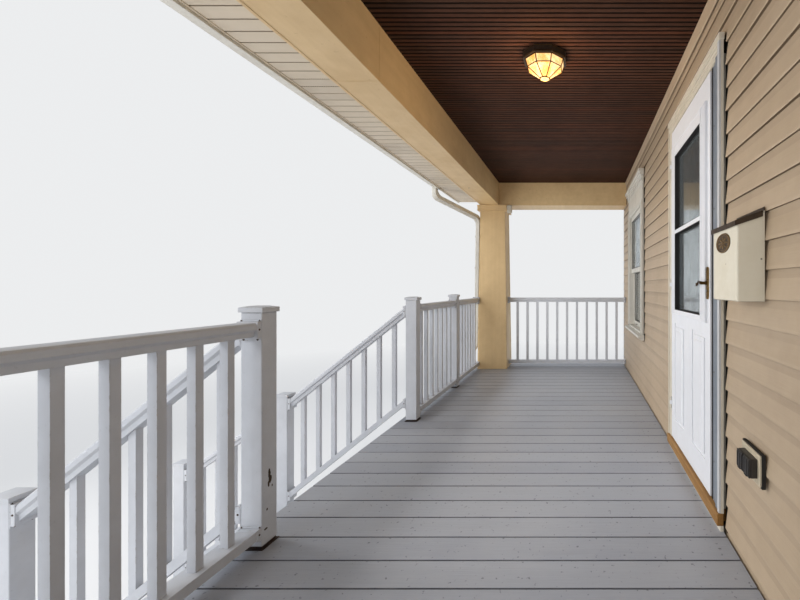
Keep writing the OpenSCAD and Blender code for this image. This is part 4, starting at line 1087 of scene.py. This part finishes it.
class PORCH_OT_eave(bpy.types.Operator):
    """Makes the soffit planks and vents, the shingles, and finishes fascia, gutter and downspouts"""

    bl_idname = "porch.eave"
    bl_label = "Eave and roof"

    FOOT, LEDGE, HEAD = 2.243, 2.440, 2.931   # closed ends: their foot, the beams' top, their peak
    CHANNEL = 2.2275, 2.2315                  # lower and upper edge of the channels round the soffit
    SEAM = 0.187                              # a joint between two soffit planks, along the porch

    def execute(self, context):
        sizes = context.scene.porch_sizes
        self.lay_soffit(sizes.soffit_plank)
        self.lay_shingles(sizes.shingle)
        eased_node("eave_fascia", "sheet_white", 0.002, 1)
        paint_node("gutter", "sheet_white")
        self.bend_spouts()
        self.side_the_gables(sizes.lap)
        self.trim_edges()
        self.fix_gutter()
        return {'FINISHED'}

    def lay_soffit(self, plank):
        """Planks from the beam to the fascia, with painted shade in the grooves between them; three in
        every twelve have air holes.
        """
        x0, x1, inner, outer, b, t = limits("eave_soffit")
        plain, vented, dice = toned_mesh(), toned_mesh(), random.Random(5)
        first = self.SEAM - math.ceil((self.SEAM - x0) / plank) * plank
        for i in range(math.ceil((x1 - 1e-6 - first) / plank)):
            end = first + (i + 1) * plank
            a, c = max(first + i * plank, x0), min(end, x1)
            bm = vented if round((self.SEAM - end) / plank) % 12 < 3 else plain
            if c - a > 0.02:
                section = [(a, t), (a, b + 0.006), (a + 0.003, b), (c - 0.006, b),
                           (c - 0.004, b + 0.007), (c, b + 0.007), (c, t)]
                verts = along_out(bm, section, inner, outer)
                tone_faces(bm, verts, dice.random())
                # Painted shade in the groove and on the hidden sides of each plank
                tone_faces(bm, verts, -1.0, lambda f: max(heights(f)) > b + 1e-5)
        piece("soffit_planks", plain, "soffit_vinyl", replaces=["eave_soffit"])
        piece("soffit_vents", vented, "soffit_vented", replaces=["eave_soffit"])

    def lay_shingles(self, course):
        """Boards under the roofing, and courses of tabs that start at random places."""
        x0, x1, _, reach, foot, _ = limits("roof_slab")
        thick, skin, width = 0.042, 0.014, 0.305    # of the roof, the roofing and one tab
        under = foot + ROOF_SLOPE * reach
        top = lambda out: under - ROOF_SLOPE * out + thick
        boards, bm, dice = bmesh.new(), toned_mesh(), random.Random(3)
        edge = reach - 0.012
        along_x(boards, [(0, under), (edge, under - ROOF_SLOPE * edge), (edge, top(edge) - skin),
                         (0, top(0) - skin)], x0 + 0.006, x1 - 0.006)
        piece("roof_boards", boards, "sawn_timber", replaces=["roof_slab"])
        count = round(reach / course)
        step = reach / count
        for i in range(count):
            o1, o0 = reach - i * step, reach - (i + 1) * step
            x = x0 - dice.random() * width
            while x < x1:
                a, c = max(x, x0), min(x + width - 0.005, x1)
                if c - a > 0.03:
                    lift = dice.random() * 0.002
                    section = [(o1, top(o1) - skin), (o1, top(o1) - lift),
                               (o0, top(o0) - 0.008), (o0, top(o0) - skin)]
                    tone_faces(bm, along_x(bm, section, a, c), dice.random())
                x += width
        piece("shingles", bm, "shingle_grit", replaces=["roof_slab"])

    def bend_spouts(self):
        """The downspouts with round elbows and eased long edges."""
        bm = node_mesh("downspouts")
        bevel(bm, [e for e in bm.edges if 4 < math.degrees(abs(e.calc_face_angle(0))) < 84], 0.052, 6)
        ease(bm, 0.007, angle=60)
        piece("downspouts_bent", bm, "sheet_white", replaces=["downspouts"], outwards=False)

    def side_the_gables(self, lap):
        """Lapped siding on the closed ends of the roof, cut along the roof's slope, with painted shade on
        the undersides.
        """
        ends, dice = toned_mesh(), random.Random(9)
        back, face, lean, far = 3.2530, 3.2735, 0.008, 2.265
        count = round((self.HEAD - self.FOOT) / lap)
        pitch = (self.HEAD - self.FOOT) / count
        for i in range(count):
            low, high = self.FOOT + i * pitch, self.FOOT + (i + 1) * pitch
            for z0, z1, near in ((low, min(high, self.LEDGE), 1.900), (max(low, self.LEDGE), high, 0.0)):
                if z1 - z0 < 0.004:
                    continue
                foot, head = (face - (z - low) * lean / pitch for z in (z0, z1))
                verts = along_out(ends, [(back, z0), (foot - 0.002, z0), (foot, z0 + 0.003), (head, z1),
                                         (back, z1)], near, far)
                tone_faces(ends, verts, dice.random())
                # Painted shade on each lap's underside
                tone_faces(ends, verts, -1.0, lambda f: max(heights(f)) < z0 + 1e-5)
        whole = ends.verts[:] + ends.edges[:] + ends.faces[:]
        cut = bmesh.ops.bisect_plane(ends, geom=whole, dist=1e-5, plane_co=at(0, 2.285, 2.359),
                                     plane_no=(0, -ROOF_SLOPE, 1), clear_outer=True)["geom_cut"]
        filled = bmesh.ops.holes_fill(ends, edges=of_kind(cut, bmesh.types.BMEdge))["faces"]
        # Painted shade on the faces that close the cut under the roof
        for face in filled:
            face[ends.faces.layers.float["tone"]] = -1.0
        mirrored(ends)
        piece("gable_laps", ends, "siding_vinyl", replaces=["roof_end_panels"])

    def trim_edges(self):
        """White rake boards, metal drip edges, the wall flashing and the channels round the soffit."""
        rakes, strips, channels = new_meshes(3)
        along_x(rakes, [(0.0, 2.856), (2.264, 2.290), (2.264, 2.364), (0.0, 2.930)], 3.2740, 3.2860)
        ease(rakes, 0.002, 1)
        along_x(strips, [(0.0, 2.912), (2.311, 2.334), (2.311, 2.352), (0.0, 2.930)], 3.2995, 3.3030)
        mirrored(rakes, strips)
        along_x(strips, [(2.3085, 2.338), (2.3115, 2.334), (2.3115, 2.3955), (2.300, 2.3985),
                         (2.300, 2.396), (2.3085, 2.3935)], -3.302, 3.302)
        along_x(strips, [(0.0, 2.974), (0.110, 2.9465), (0.110, 2.9485), (0.003, 2.976),
                         (0.003, 3.050), (0.0, 3.050)], -3.297, 3.297)
        for out0, out1 in ((1.8985, 1.915), (2.250, 2.2645)):
            add_slab(channels, 0.0, 3.270, out0, out1, *self.CHANNEL)
        add_pair(channels, 0.0, 3.252, 3.270, 1.915, 2.250, *self.CHANNEL)
        piece("rake_boards", rakes, "sheet_white")
        piece("roof_edge_metal", strips, "sheet_white")
        piece("soffit_channels", channels, "soffit_vinyl")

    def fix_gutter(self):
        """Straps inside the gutter, its lapped joints, and bands round the downspouts."""
        straps, bands, screws = new_meshes(3)
        for i in range(9):
            add_slab(straps, -2.32 + i * 0.58, 0.012, 2.288, 2.3815, 2.3535, 2.3555)
        for x in (-0.83, 0.83):
            along_x(bands, [(2.2865, 2.2450), (2.3605, 2.2450), (2.3605, 2.2990), (2.3858, 2.3410),
                            (2.3858, 2.3660), (2.3825, 2.3660), (2.3825, 2.3430), (2.3580, 2.3010),
                            (2.3580, 2.2475), (2.2865, 2.2475)], x - 0.04, x + 0.04)
        for z in (1.705, 1.300, 0.520):
            middle = COLUMN[1] + (0.380 - 0.060 * z / 2.056) / 2 + 0.0295
            for x in (-2.985, 2.985):
                add_slab(bands, x, 0.0405, middle - 0.0275, middle + 0.0278, z, z + 0.022)
                add_pair(bands, x, 0.0405, 0.0625, middle - 0.0290, middle - 0.0265, z, z + 0.022)
                for ear in SIDES:
                    add_screw(screws, at(x + ear * 0.0525, middle - 0.0265, z + 0.011), (0, -1, 0), 0.0035)
        ease(bands, 0.0008, 1)
        piece("gutter_straps", straps, "screw_steel")
        piece("spout_bands", bands, "sheet_white")
        piece("spout_screws", screws, "screw_steel")


class PORCH_OT_windows(bpy.types.Operator):
    """Finishes the windows: casings, sashes, glass and a dark sheet behind them, painted shade for the room
    """

    bl_idname = "porch.windows"
    bl_label = "Windows"

    HALF, WIDE = 0.460, 0.550              # half the width of a window's frame, and of its casing
    LOW, HIGH, TOP = 0.600, 1.895, 2.110   # foot and head of its frame, and top of its casing

    def execute(self, context):
        trim, crown, room, beads, locks = new_meshes(5)
        self.frame_window(trim)
        ease(trim, 0.002)
        for i in (1, 2, 3):
            add_slab(crown, WINDOW, self.WIDE + 0.009 * i, 0.0, 0.015 + 0.013 * i,
                     self.TOP + 0.030 * (i - 1), self.TOP + 0.030 * i)
        ease(crown, 0.004, 3)
        inner = self.HALF - 0.020
        # A dark sheet in each opening: painted shade for the room behind the glass
        add_slab(room, WINDOW, inner, -0.166, -0.158, self.LOW + 0.020, self.HIGH - 0.020)
        for out, z0, z1 in ((-0.0045, 1.2715, 1.825), (-0.0395, 0.670, 1.2235)):
            add_ring(beads, WINDOW - inner + 0.050, WINDOW + inner - 0.050, z0, z1, 0.005,
                     out - 0.006, out - 0.001)
        self.lock_sashes(locks)
        mirrored(trim, crown, room, beads, locks)
        piece("window_frames", trim, "casing_white", replaces=["window_casings"])
        piece("window_crowns", crown, "casing_white", replaces=["window_casings"])
        eased_node("window_sashes", "casing_white", 0.003)
        piece("dark_rooms", room, "dark_room")
        piece("sash_beads", beads, "gasket_black")
        piece("sash_locks", locks, "screw_steel")
        paint_node("window_glass", "pane_glass")
        return {'FINISHED'}

    def frame_window(self, bm):
        """Liner boards, flat casing with a back band and two beads, sill with its apron."""
        flat, inner, low = 0.0150, self.HALF - 0.020, self.LOW
        add_ring(bm, WINDOW - self.HALF, WINDOW + self.HALF, low, self.HIGH, 0.020, -0.170, 0.0)
        add_pair(bm, WINDOW, inner, self.WIDE, 0.0, flat, low, 1.875)
        for near, far, proud in ((self.WIDE - 0.018, self.WIDE, 0.0225), (inner, inner + 0.012, 0.0195),
                                 (inner + 0.030, inner + 0.036, 0.0175)):
            add_pair(bm, WINDOW, near, far, flat, proud, low, self.HIGH)
        add_slab(bm, WINDOW, self.WIDE, 0.0, flat, 1.875, self.TOP)
        for z, proud in ((1.895, 0.0225), (1.918, 0.0190), (2.088, 0.0225)):
            add_slab(bm, WINDOW, self.WIDE, flat, proud, z, z + 0.016)
        add_slab(bm, WINDOW, self.WIDE, 0.0, flat, low, low + 0.020)
        along_x(bm, [(0.0, 0.548), (0.024, 0.548), (0.030, 0.556), (0.030, 0.566), (0.054, 0.568),
                     (0.058, 0.574), (0.058, 0.588), (0.054, 0.592), (0.0, 0.600)],
                WINDOW - self.WIDE - 0.027, WINDOW + self.WIDE + 0.027)

    def lock_sashes(self, bm):
        """A cam lock and two lifts on a window's sashes."""
        add_slab(bm, WINDOW, 0.028, -0.0745, -0.0500, 1.2735, 1.2785)
        add_disc(bm, at(WINDOW, -0.060, 1.2785), (0, 0, 1), 0.011, 0.006)
        add_pair(bm, WINDOW, 0.170, 0.230, -0.0405, -0.0280, 0.634, 0.640)
        ease(bm, 0.0015)


class PORCH_OT_door(bpy.types.Operator):
    """Finishes the entry: casing, sill, storm door, glass, plate and lever"""

    bl_idname = "porch.door"
    bl_label = "Door"

    LEFT, RIGHT = -0.235, 0.676            # sides of the opening between the jambs
    FOOT, HEAD = 0.079, 2.077              # top of the sill and head of the opening
    MIDDLE = 0.1855                        # middle of the storm door
    PANES = ((0.920, 1.394), (1.416, 1.880))

    def execute(self, context):
        eased_node("door_casing", "cream_trim", 0.0012, 1)
        eased_node("door_sill", "sill_varnish", 0.004)
        self.trim_casing()
        self.make_latch_strip()
        self.make_entry_door()
        self.make_storm_door()
        self.make_handles()
        return {'FINISHED'}

    def trim_casing(self):
        """Back band and bead on the casing's far side, and three beads across its head."""
        bm = bmesh.new()
        flat, left, right = 0.0148, self.LEFT - 0.060, self.RIGHT + 0.060
        for near, far, proud in ((0.0, 0.014, 0.0215), (0.026, 0.031, 0.0175)):
            add_block(bm, left + near, left + far, flat, proud, self.FOOT, 2.1337)
        for z, proud in ((self.HEAD + 0.010, 0.0180), (self.HEAD + 0.024, 0.0195), (2.1240, 0.0215)):
            add_block(bm, left, right, flat, proud, z, z + 0.008)
        add_block(bm, left - 0.004, right + 0.004, flat, 0.0200, 2.1300, 2.1340)
        ease(bm, 0.0015)
        piece("door_casing_beads", bm, "cream_trim")

    def make_latch_strip(self):
        """Grey ribbed strip on the latch side, the pale channel beside it, black strips that are partly
        seal and partly painted shade, and screws.
        """
        strip, channel, seals_and_shade, screws = new_meshes(4)
        right = self.RIGHT - 0.0005
        left = right - 0.076
        low, high = self.FOOT + 0.001, self.HEAD - 0.001
        ledge = ((0.0, 0.004), (0.0, 0.0075), (0.006, 0.0085), (0.012, 0.0075), (0.034, 0.0075),
                 (0.037, 0.0090), (0.039, 0.0090), (0.039, 0.004))
        stop = ((0.042, 0.004), (0.042, 0.0095), (0.054, 0.0100), (0.059, 0.0075), (0.066, 0.0075),
                (0.070, 0.0095), (0.076, 0.0095), (0.076, 0.004))
        for section in (ledge, stop):
            along_z(strip, [(left + x, out) for x, out in section], low, high)
        add_block(strip, right, right + 0.0365, 0.0120, 0.0172, low, self.HEAD + 0.010)
        add_block(channel, right + 0.0395, right + 0.0610, 0.0120, 0.0222, low, 2.1337)
        ease(channel, 0.0015)
        for z in (0.26, 0.67, 1.02, 1.42, 1.80):
            add_screw(screws, at(left + 0.028, 0.0075, z), (0, -1, 0), 0.0045)
        # Black strips between the strip's parts: partly seal, partly painted shade
        for near, far, out in ((0.1115, 0.1160, 0.0165), (0.0, 0.0140, 0.0092), (0.0390, 0.0420, 0.0079),
                               (0.0625, 0.0655, 0.0079), (0.0720, 0.0760, 0.0150)):
            add_block(seals_and_shade, left + near, left + far, 0.004, out, low, high)
        piece("latch_seals", seals_and_shade, "gasket_black")
        piece("latch_strip", strip, "grey_strip")
        piece("latch_channel", channel, "pale_strip")
        piece("latch_screws", screws, "screw_steel")

    def make_entry_door(self):
        """Stained entry door: rails and stiles round four fielded panels, with its knob."""
        door, knob = new_meshes(2)
        low, high = self.FOOT + 0.001, self.HEAD - 0.001
        x0, x1, back, face = self.LEFT + 0.001, self.RIGHT - 0.001, -0.159, -0.117
        ground, panel = face - 0.012, face - 0.002
        add_block(door, x0, x1, back, ground, low, high)
        columns = ((x0, x0 + 0.110), (0.170, 0.271), (x1 - 0.110, x1))
        rows = ((low, low + 0.220), (0.850, 0.990), (high - 0.115, high))
        for a, b in columns:
            add_block(door, a, b, ground, face, low, high)
        for (_, left), (right, _) in zip(columns, columns[1:]):
            for a, b in rows:
                add_block(door, left, right, ground, face, a, b)
            for (_, bottom), (top, _) in zip(rows, rows[1:]):
                verts = add_block(door, left + 0.016, right - 0.016, ground, panel,
                                  bottom + 0.016, top - 0.016)
                bevel_front(door, verts, panel, 0.018)
        ease(door, 0.0015, 1)
        piece("entry_panels", door, "entry_stain", replaces=["entry_door"])
        centre = at(0.618, face, 0.930)
        add_disc(knob, centre, (0, -1, 0), 0.026, 0.005, 24, 0.023)
        add_disc(knob, centre, (0, -1, 0), 0.009, 0.020)
        ball = bmesh.ops.create_uvsphere(knob, u_segments=20, v_segments=12, radius=0.021,
                                         matrix=Matrix.Rotation(math.radians(90), 4, 'X'))["verts"]
        bmesh.ops.scale(knob, vec=(1, 0.6, 1), verts=ball)
        bmesh.ops.translate(knob, vec=centre + Vector((0, -0.024, 0)), verts=ball)
        piece("entry_knob", knob, "aged_brass")

    def make_storm_door(self):
        """The storm door: fielded panels, ribbed window frame, black gaskets with painted shade lining each
        pane's reveal, and glass.
        """
        eased_node("storm_door", "white_door", 0.0012, 1, "storm_door")
        paint_node("storm_door_glass", "pane_glass")
        trim, seals_and_shade = toned_mesh(), bmesh.new()
        for near in (0.284, 0.312, 0.345):
            add_pair(trim, self.MIDDLE, near, near + 0.007, 0.0255, 0.0290, 0.900, 1.940)
        for z in (0.8925, 1.9405):
            add_slab(trim, self.MIDDLE, 0.355, 0.0255, 0.0285, z, z + 0.006)
        for side in SIDES:
            x = self.MIDDLE + side * 0.205
            tone_faces(trim, add_slab(trim, x, 0.096, 0.0100, 0.0150, 0.2440, 0.8090), -0.8)
            add_slab(trim, x, 0.096, -0.0275, -0.0235, 0.2440, 0.8090)
            bevel_front(trim, add_slab(trim, x, 0.080, 0.0100, 0.0200, 0.2600, 0.7930), 0.0200, 0.014, 3)
        add_ring(trim, self.MIDDLE - 0.310, self.MIDDLE + 0.310, 0.884, 1.916, 0.034, -0.0285, -0.0235)
        ease(trim, 0.0012)
        piece("storm_door_trim", trim, "white_door", body="storm_door")
        for z0, z1 in self.PANES:
            # A thin black ring lining each pane's reveal is painted shade; the two wider rings are gaskets
            for edge, out0, out1 in ((0.0025, -0.0020, 0.0250), (0.0060, -0.0020, 0.0010),
                                     (0.0060, -0.0110, -0.0080)):
                add_ring(seals_and_shade, self.MIDDLE - 0.2735, self.MIDDLE + 0.2735, z0, z1, edge, out0, out1)
        add_slab(seals_and_shade, self.MIDDLE, 0.402, -0.0180, -0.0120, 0.0815, 0.0860)
        piece("storm_door_seals", seals_and_shade, "gasket_black", body="storm_door")

    def make_handles(self):
        """Long plates with rounded ends, screws and a key cylinder; scrolled levers on both sides."""
        x, z, thick = self.MIDDLE + 0.3765, 1.080, 0.0085
        plates, levers, screws = new_meshes(3)
        # Along and up from the spindle, and the radius there
        bends = ((0.008, 0.000, 0.0075), (0.000, 0.001, 0.0085), (-0.014, 0.003, 0.0068),
                 (-0.030, 0.006, 0.0055), (-0.046, 0.004, 0.0052), (-0.060, -0.003, 0.0058),
                 (-0.070, -0.009, 0.0055), (-0.078, -0.007, 0.0048), (-0.080, 0.000, 0.0036))
        for face, way in ((0.014, 1), (-0.024, -1)):
            surface, normal, bar = face + way * thick, (0, -way, 0), bmesh.new()
            add_slab(bar, x, 0.0125, *sorted((face, surface)), z - 0.0765, z + 0.0765)
            bevel(bar, [e for e in bar.edges if abs(e.verts[0].co.y - e.verts[1].co.y) > 0.005], 0.0115, 5)
            ease(bar, 0.002, angle=50)
            move_into(plates, bar)
            for dz in (-0.064, 0.064):
                add_screw(screws, at(x, surface, z + dz), normal)
            add_disc(screws, at(x, surface, z - 0.036), normal, 0.0065, 0.0015, 16, 0.0058)
            add_disc(levers, at(x, surface + way * 0.0008, z), normal, 0.0105, 0.006, 20, 0.0085)
            add_disc(levers, at(x, surface + way * 0.0068, z), normal, 0.0070, 0.022)
            sweep(levers, [at(x + dx, surface + way * 0.0270, z + dz) for dx, dz, _ in bends],
                  [radius for *_, radius in bends], 10)
        piece("lever_plates", plates, "aged_brass", body="storm_door", replaces=["lever_plate"])
        piece("lever_screws", screws, "screw_steel", body="storm_door")
        piece("lever_handles", levers, "dark_brass", body="door_lever", replaces=["door_lever"])


class PORCH_OT_fittings(bpy.types.Operator):
    """Finishes the mailbox, the outlet and the ceiling lamp"""

    bl_idname = "porch.fittings"
    bl_label = "Fittings"

    MAIL_X, MAIL_HALF, MAIL_FRONT, MAIL_FOOT = 1.018, 0.1235, 0.097, 1.012   # the mailbox's limits

    def execute(self, context):
        self.make_mailbox()
        self.make_outlet()
        self.make_lamp()
        return {'FINISHED'}

    def make_mailbox(self):
        """Folded sheet box with lower front, medallion, screws, lid, and the cap over its back."""
        x, half, front, low = self.MAIL_X, self.MAIL_HALF, self.MAIL_FRONT, self.MAIL_FOOT
        box, (lower, cap, screws) = node_mesh("mailbox_body"), new_meshes(3)
        ease(box, 0.0095, 5, [e for e in box.edges if all(
            abs(v.co.y - WALL_Y + front) < 1e-4 and abs(abs(v.co.x - x) - half) < 1e-4 for v in e.verts)])
        ease(box, 0.001, 1, angle=60)
        piece("mailbox_body_eased", box, "cream_enamel", replaces=["mailbox_body"],
              outwards=False)
        add_slab(lower, x, half - 0.011, front - 0.001, front + 0.0009, low + 0.003, low + 0.104)
        ease(lower, 0.0006)
        piece("mailbox_lower_front", lower, "cream_enamel")
        self.make_medallion(at(x - 0.004, front, low + 0.210))
        for side in SIDES:
            add_screw(screws, at(x + side * half, 0.012, 1.156), (side, 0, 0), 0.0035)
        add_screw(screws, at(x + 0.022, front, 1.144), (0, -1, 0), 0.0022)
        piece("mailbox_screws", screws, "screw_steel")
        self.make_mailbox_lid()
        top = limits("mailbox_body")[5] + 0.0008
        add_slab(cap, x, half + 0.001, 0.0005, 0.0042, low + 0.3075, top)
        ease(cap, 0.0008, 1)
        piece("mailbox_back_cap", cap, "bronze_enamel")

    def make_medallion(self, centre):
        """Oval plate with two raised rings, and eight leaves round a boss."""
        plate, relief = new_meshes(2)
        add_disc(plate, centre, (0, -1, 0), 0.0365, 0.0022, 40, 0.0350)
        around = lambda turn, radius, out: centre + Vector((math.cos(turn) * radius, -out,
                                                            math.sin(turn) * radius))
        for radius, thick in ((0.0335, 0.0024), (0.0270, 0.0012)):
            sweep(relief, [around(math.tau * i / 36, radius, 0.0022) for i in range(37)], [thick] * 37)
        leaves = [(0.0085, (1.0, 0.30, 0.42), math.tau * i / 8, 0.0150) for i in range(8)]
        for radius, squash, turn, far in leaves + [(0.0062, (1.0, 0.55, 1.0), 0.0, 0.0)]:
            ball = bmesh.ops.create_icosphere(relief, subdivisions=2, radius=radius)["verts"]
            bmesh.ops.scale(relief, vec=squash, verts=ball)
            bmesh.ops.rotate(relief, verts=ball, matrix=Matrix.Rotation(-turn, 3, 'Y'))
            bmesh.ops.translate(relief, verts=ball, vec=around(turn, far, 0.0024))
        for bm, name, material in ((plate, "mailbox_medallion", "bronze_enamel"),
                                   (relief, "mailbox_medallion_relief", "medallion_bronze")):
            bmesh.ops.scale(bm, vec=(2.0, 1.0, 1.0), verts=bm.verts, space=Matrix.Translation(-centre))
            piece(name, bm, material)

    def make_mailbox_lid(self):
        """The lid with a hem along its sides and front, and a rib across it."""
        x, wide = self.MAIL_X, self.MAIL_HALF + 0.006
        eased_node("mailbox_lid", "bronze_enamel", 0.0012, 2, "mailbox_lid")
        hem = bmesh.new()
        fall = 0.030 / (self.MAIL_FRONT - 0.012)
        mouth = lambda out: self.MAIL_FOOT + 0.3023 - (out - 0.012) * fall
        sides = [(0.009, mouth(0.009) - 0.016), (0.103, mouth(0.103) - 0.014),
                 (0.103, mouth(0.103) + 0.001), (0.009, mouth(0.009) + 0.001)]
        for side in SIDES:
            along_x(hem, sides, *sorted((x + side * (wide - 0.0014), x + side * wide)))
        along_x(hem, [(0.1017, mouth(0.103) - 0.014), *sides[1:3], (0.1017, mouth(0.1017) + 0.001)],
                x - wide, x + wide)
        along_x(hem, [(out, mouth(out) + up) for out, up in ((0.060, 0.0040), (0.066, 0.0040),
                                                             (0.066, 0.0052), (0.060, 0.0052))],
                x - wide + 0.002, x + wide - 0.002)
        piece("mailbox_lid_hem", hem, "bronze_enamel", body="mailbox_lid")

    def make_outlet(self):
        """Moulded siding block, black weather cover, and its two ribbed flaps."""
        eased_node("outlet_block", "beige_moulded", 0.005, 3)
        eased_node("outlet_cover", "black_moulded", 0.003)
        rim, gap = new_meshes(2)
        add_ring(rim, 0.985, 1.145, 0.383, 0.489, 0.007, 0.0155, 0.0180)
        ease(rim, 0.0015)
        piece("outlet_block_rim", rim, "beige_moulded")
        add_ring(gap, 0.9805, 1.1495, 0.3785, 0.4935, 0.0045, 0.0005, 0.0132)
        piece("outlet_shadow_gap", gap, "gasket_black")
        for node, x in (("outlet_flap_left", 1.009), ("outlet_flap_right", 1.068)):
            eased_node(node, "black_moulded", 0.0015, 2, node)
            ribs = bmesh.new()
            for a, b in ((0.004, 0.013), (0.020, 0.033), (0.040, 0.049)):
                add_block(ribs, x + a, x + b, 0.0460, 0.0485, 0.4100, 0.4620)
            add_block(ribs, x + 0.016, x + 0.037, 0.0460, 0.0500, 0.4045, 0.4080)
            ease(ribs, 0.0006, 1)
            piece(node + "_ribs", ribs, "black_moulded", body=node)

    def make_lamp(self):
        """Eight-sided ceiling lamp: banded base, metal bars between the panes, and a lit foot."""
        eased_node("lamp_base", "bronze_enamel", 0.003)
        paint_node("lamp_glass", "lit_amber")
        middle, (bars, foot) = at(0.088, 0.826, CEILING), new_meshes(2)

        def corner(k, radius, drop):
            turn = math.radians(22.5 + 45 * k)
            return middle + Vector((math.cos(turn) * radius, math.sin(turn) * radius, -drop))

        for k in range(8):
            sweep(bars, [corner(k, 0.1185, 0.040), corner(k, 0.1045, 0.084), corner(k, 0.0300, 0.1365)],
                  [0.0032, 0.0032, 0.0028], 6)
        for radius, drop, thick in ((0.1290, 0.036, 0.0040), (0.1185, 0.0430, 0.0035),
                                    (0.1045, 0.084, 0.0028), (0.0305, 0.1380, 0.0030),
                                    (0.1290, 0.006, 0.0030)):
            sweep(bars, [corner(k, radius, drop) for k in range(9)], [thick] * 9, 6)
        piece("lamp_bars", bars, "lamp_brass")
        add_disc(foot, middle + Vector((0, 0, -0.1398)), (0, 0, -1), 0.0255, 0.0012, 24, 0.0235)
        piece("lamp_foot_glass", foot, "lit_amber")


class PORCH_OT_ground_works(bpy.types.Operator):
    """Finishes the foundation, the piers and the corner boards"""

    bl_idname = "porch.ground_works"
    bl_label = "Foundation"

    # The masses under the right half of the porch: x0, x1, out0, out1
    PIERS = ((2.895, 3.335, 1.525, 1.965), (0.680, 0.960, 1.727, 2.007))

    def execute(self, context):
        piers = [(-x1, -x0, *outs) for x0, x1, *outs in self.PIERS] + list(self.PIERS)
        for node, masses, long in (("foundation_wall", [(-3.300, 3.300, -0.240, 0.0)], 0.400),
                                   ("piers", piers, 0.220)):
            blocks, mortar = toned_mesh(), bmesh.new()
            for mass in masses:
                self.lay_blocks(blocks, mortar, mass, limits(node)[5], long)
            piece(node + "_blocks", blocks, "block_stone", replaces=[node])
            piece(node + "_mortar", mortar, "mortar", replaces=[node])
        eased_node("corner_boards", "white_trim", 0.002, 1)
        return {'FINISHED'}

    def lay_blocks(self, blocks, mortar, mass, top, long, tall=0.200, joint=0.010):
        """Courses of blocks round a mortar core, with every second course shifted by half a block."""
        x0, x1, out0, out1 = mass
        ground, core = -DECK_Z, 0.006
        add_block(mortar, x0 + core, x1 - core, out0 + core, out1 - core, ground + 0.002, top - 0.002)
        rows = round((top - ground) / tall)
        pitch = (top - ground) / rows
        dice = random.Random(round(x0 * 100))
        for row in range(rows):
            x = x0 - (long / 2 if row % 2 else 0)
            while x < x1 - 0.02:
                a, b = max(x, x0), min(x + long - joint, x1)
                if b - a > 0.03:
                    low = ground + row * pitch + (joint if row else 0)
                    verts = add_block(blocks, a, b, out0, out1, low, ground + (row + 1) * pitch)
                    tone_faces(blocks, verts, dice.random())
                x += long
        ease(blocks, core, 1)


class PORCH_PT_parts(bpy.types.Panel):
    """Lists the parts of the porch in the sidebar"""

    bl_label = "Porch"
    bl_idname = "PORCH_PT_parts"
    bl_space_type = 'VIEW_3D'
    bl_region_type = 'UI'
    bl_category = "Porch"

    def draw(self, context):
        for group_of in (context.scene.porch_sizes, context.scene.porch_colours):
            for name in group_of.bl_rna.properties.keys():
                if name not in {"rna_type", "name"}:
                    self.layout.prop(group_of, name)
        for step in STEPS:
            self.layout.operator(step.bl_idname)


STEPS = (PORCH_OT_stage, PORCH_OT_siding, PORCH_OT_deck, PORCH_OT_railings, PORCH_OT_columns,
         PORCH_OT_ceiling, PORCH_OT_eave, PORCH_OT_windows, PORCH_OT_door, PORCH_OT_fittings,
         PORCH_OT_ground_works)
CLASSES = (PorchColours, PorchSizes, PORCH_PT_parts) + STEPS


def register():
    for kind in CLASSES:
        bpy.utils.register_class(kind)
    bpy.types.Scene.porch_colours = PointerProperty(type=PorchColours)
    bpy.types.Scene.porch_sizes = PointerProperty(type=PorchSizes)


def unregister():
    del bpy.types.Scene.porch_colours
    del bpy.types.Scene.porch_sizes
    for kind in reversed(CLASSES):
        bpy.utils.unregister_class(kind)


def main():
    register()
    for step in STEPS:
        part, name = step.bl_idname.split(".")
        getattr(getattr(bpy.ops, part), name)()


if __name__ == "__main__":
    main()
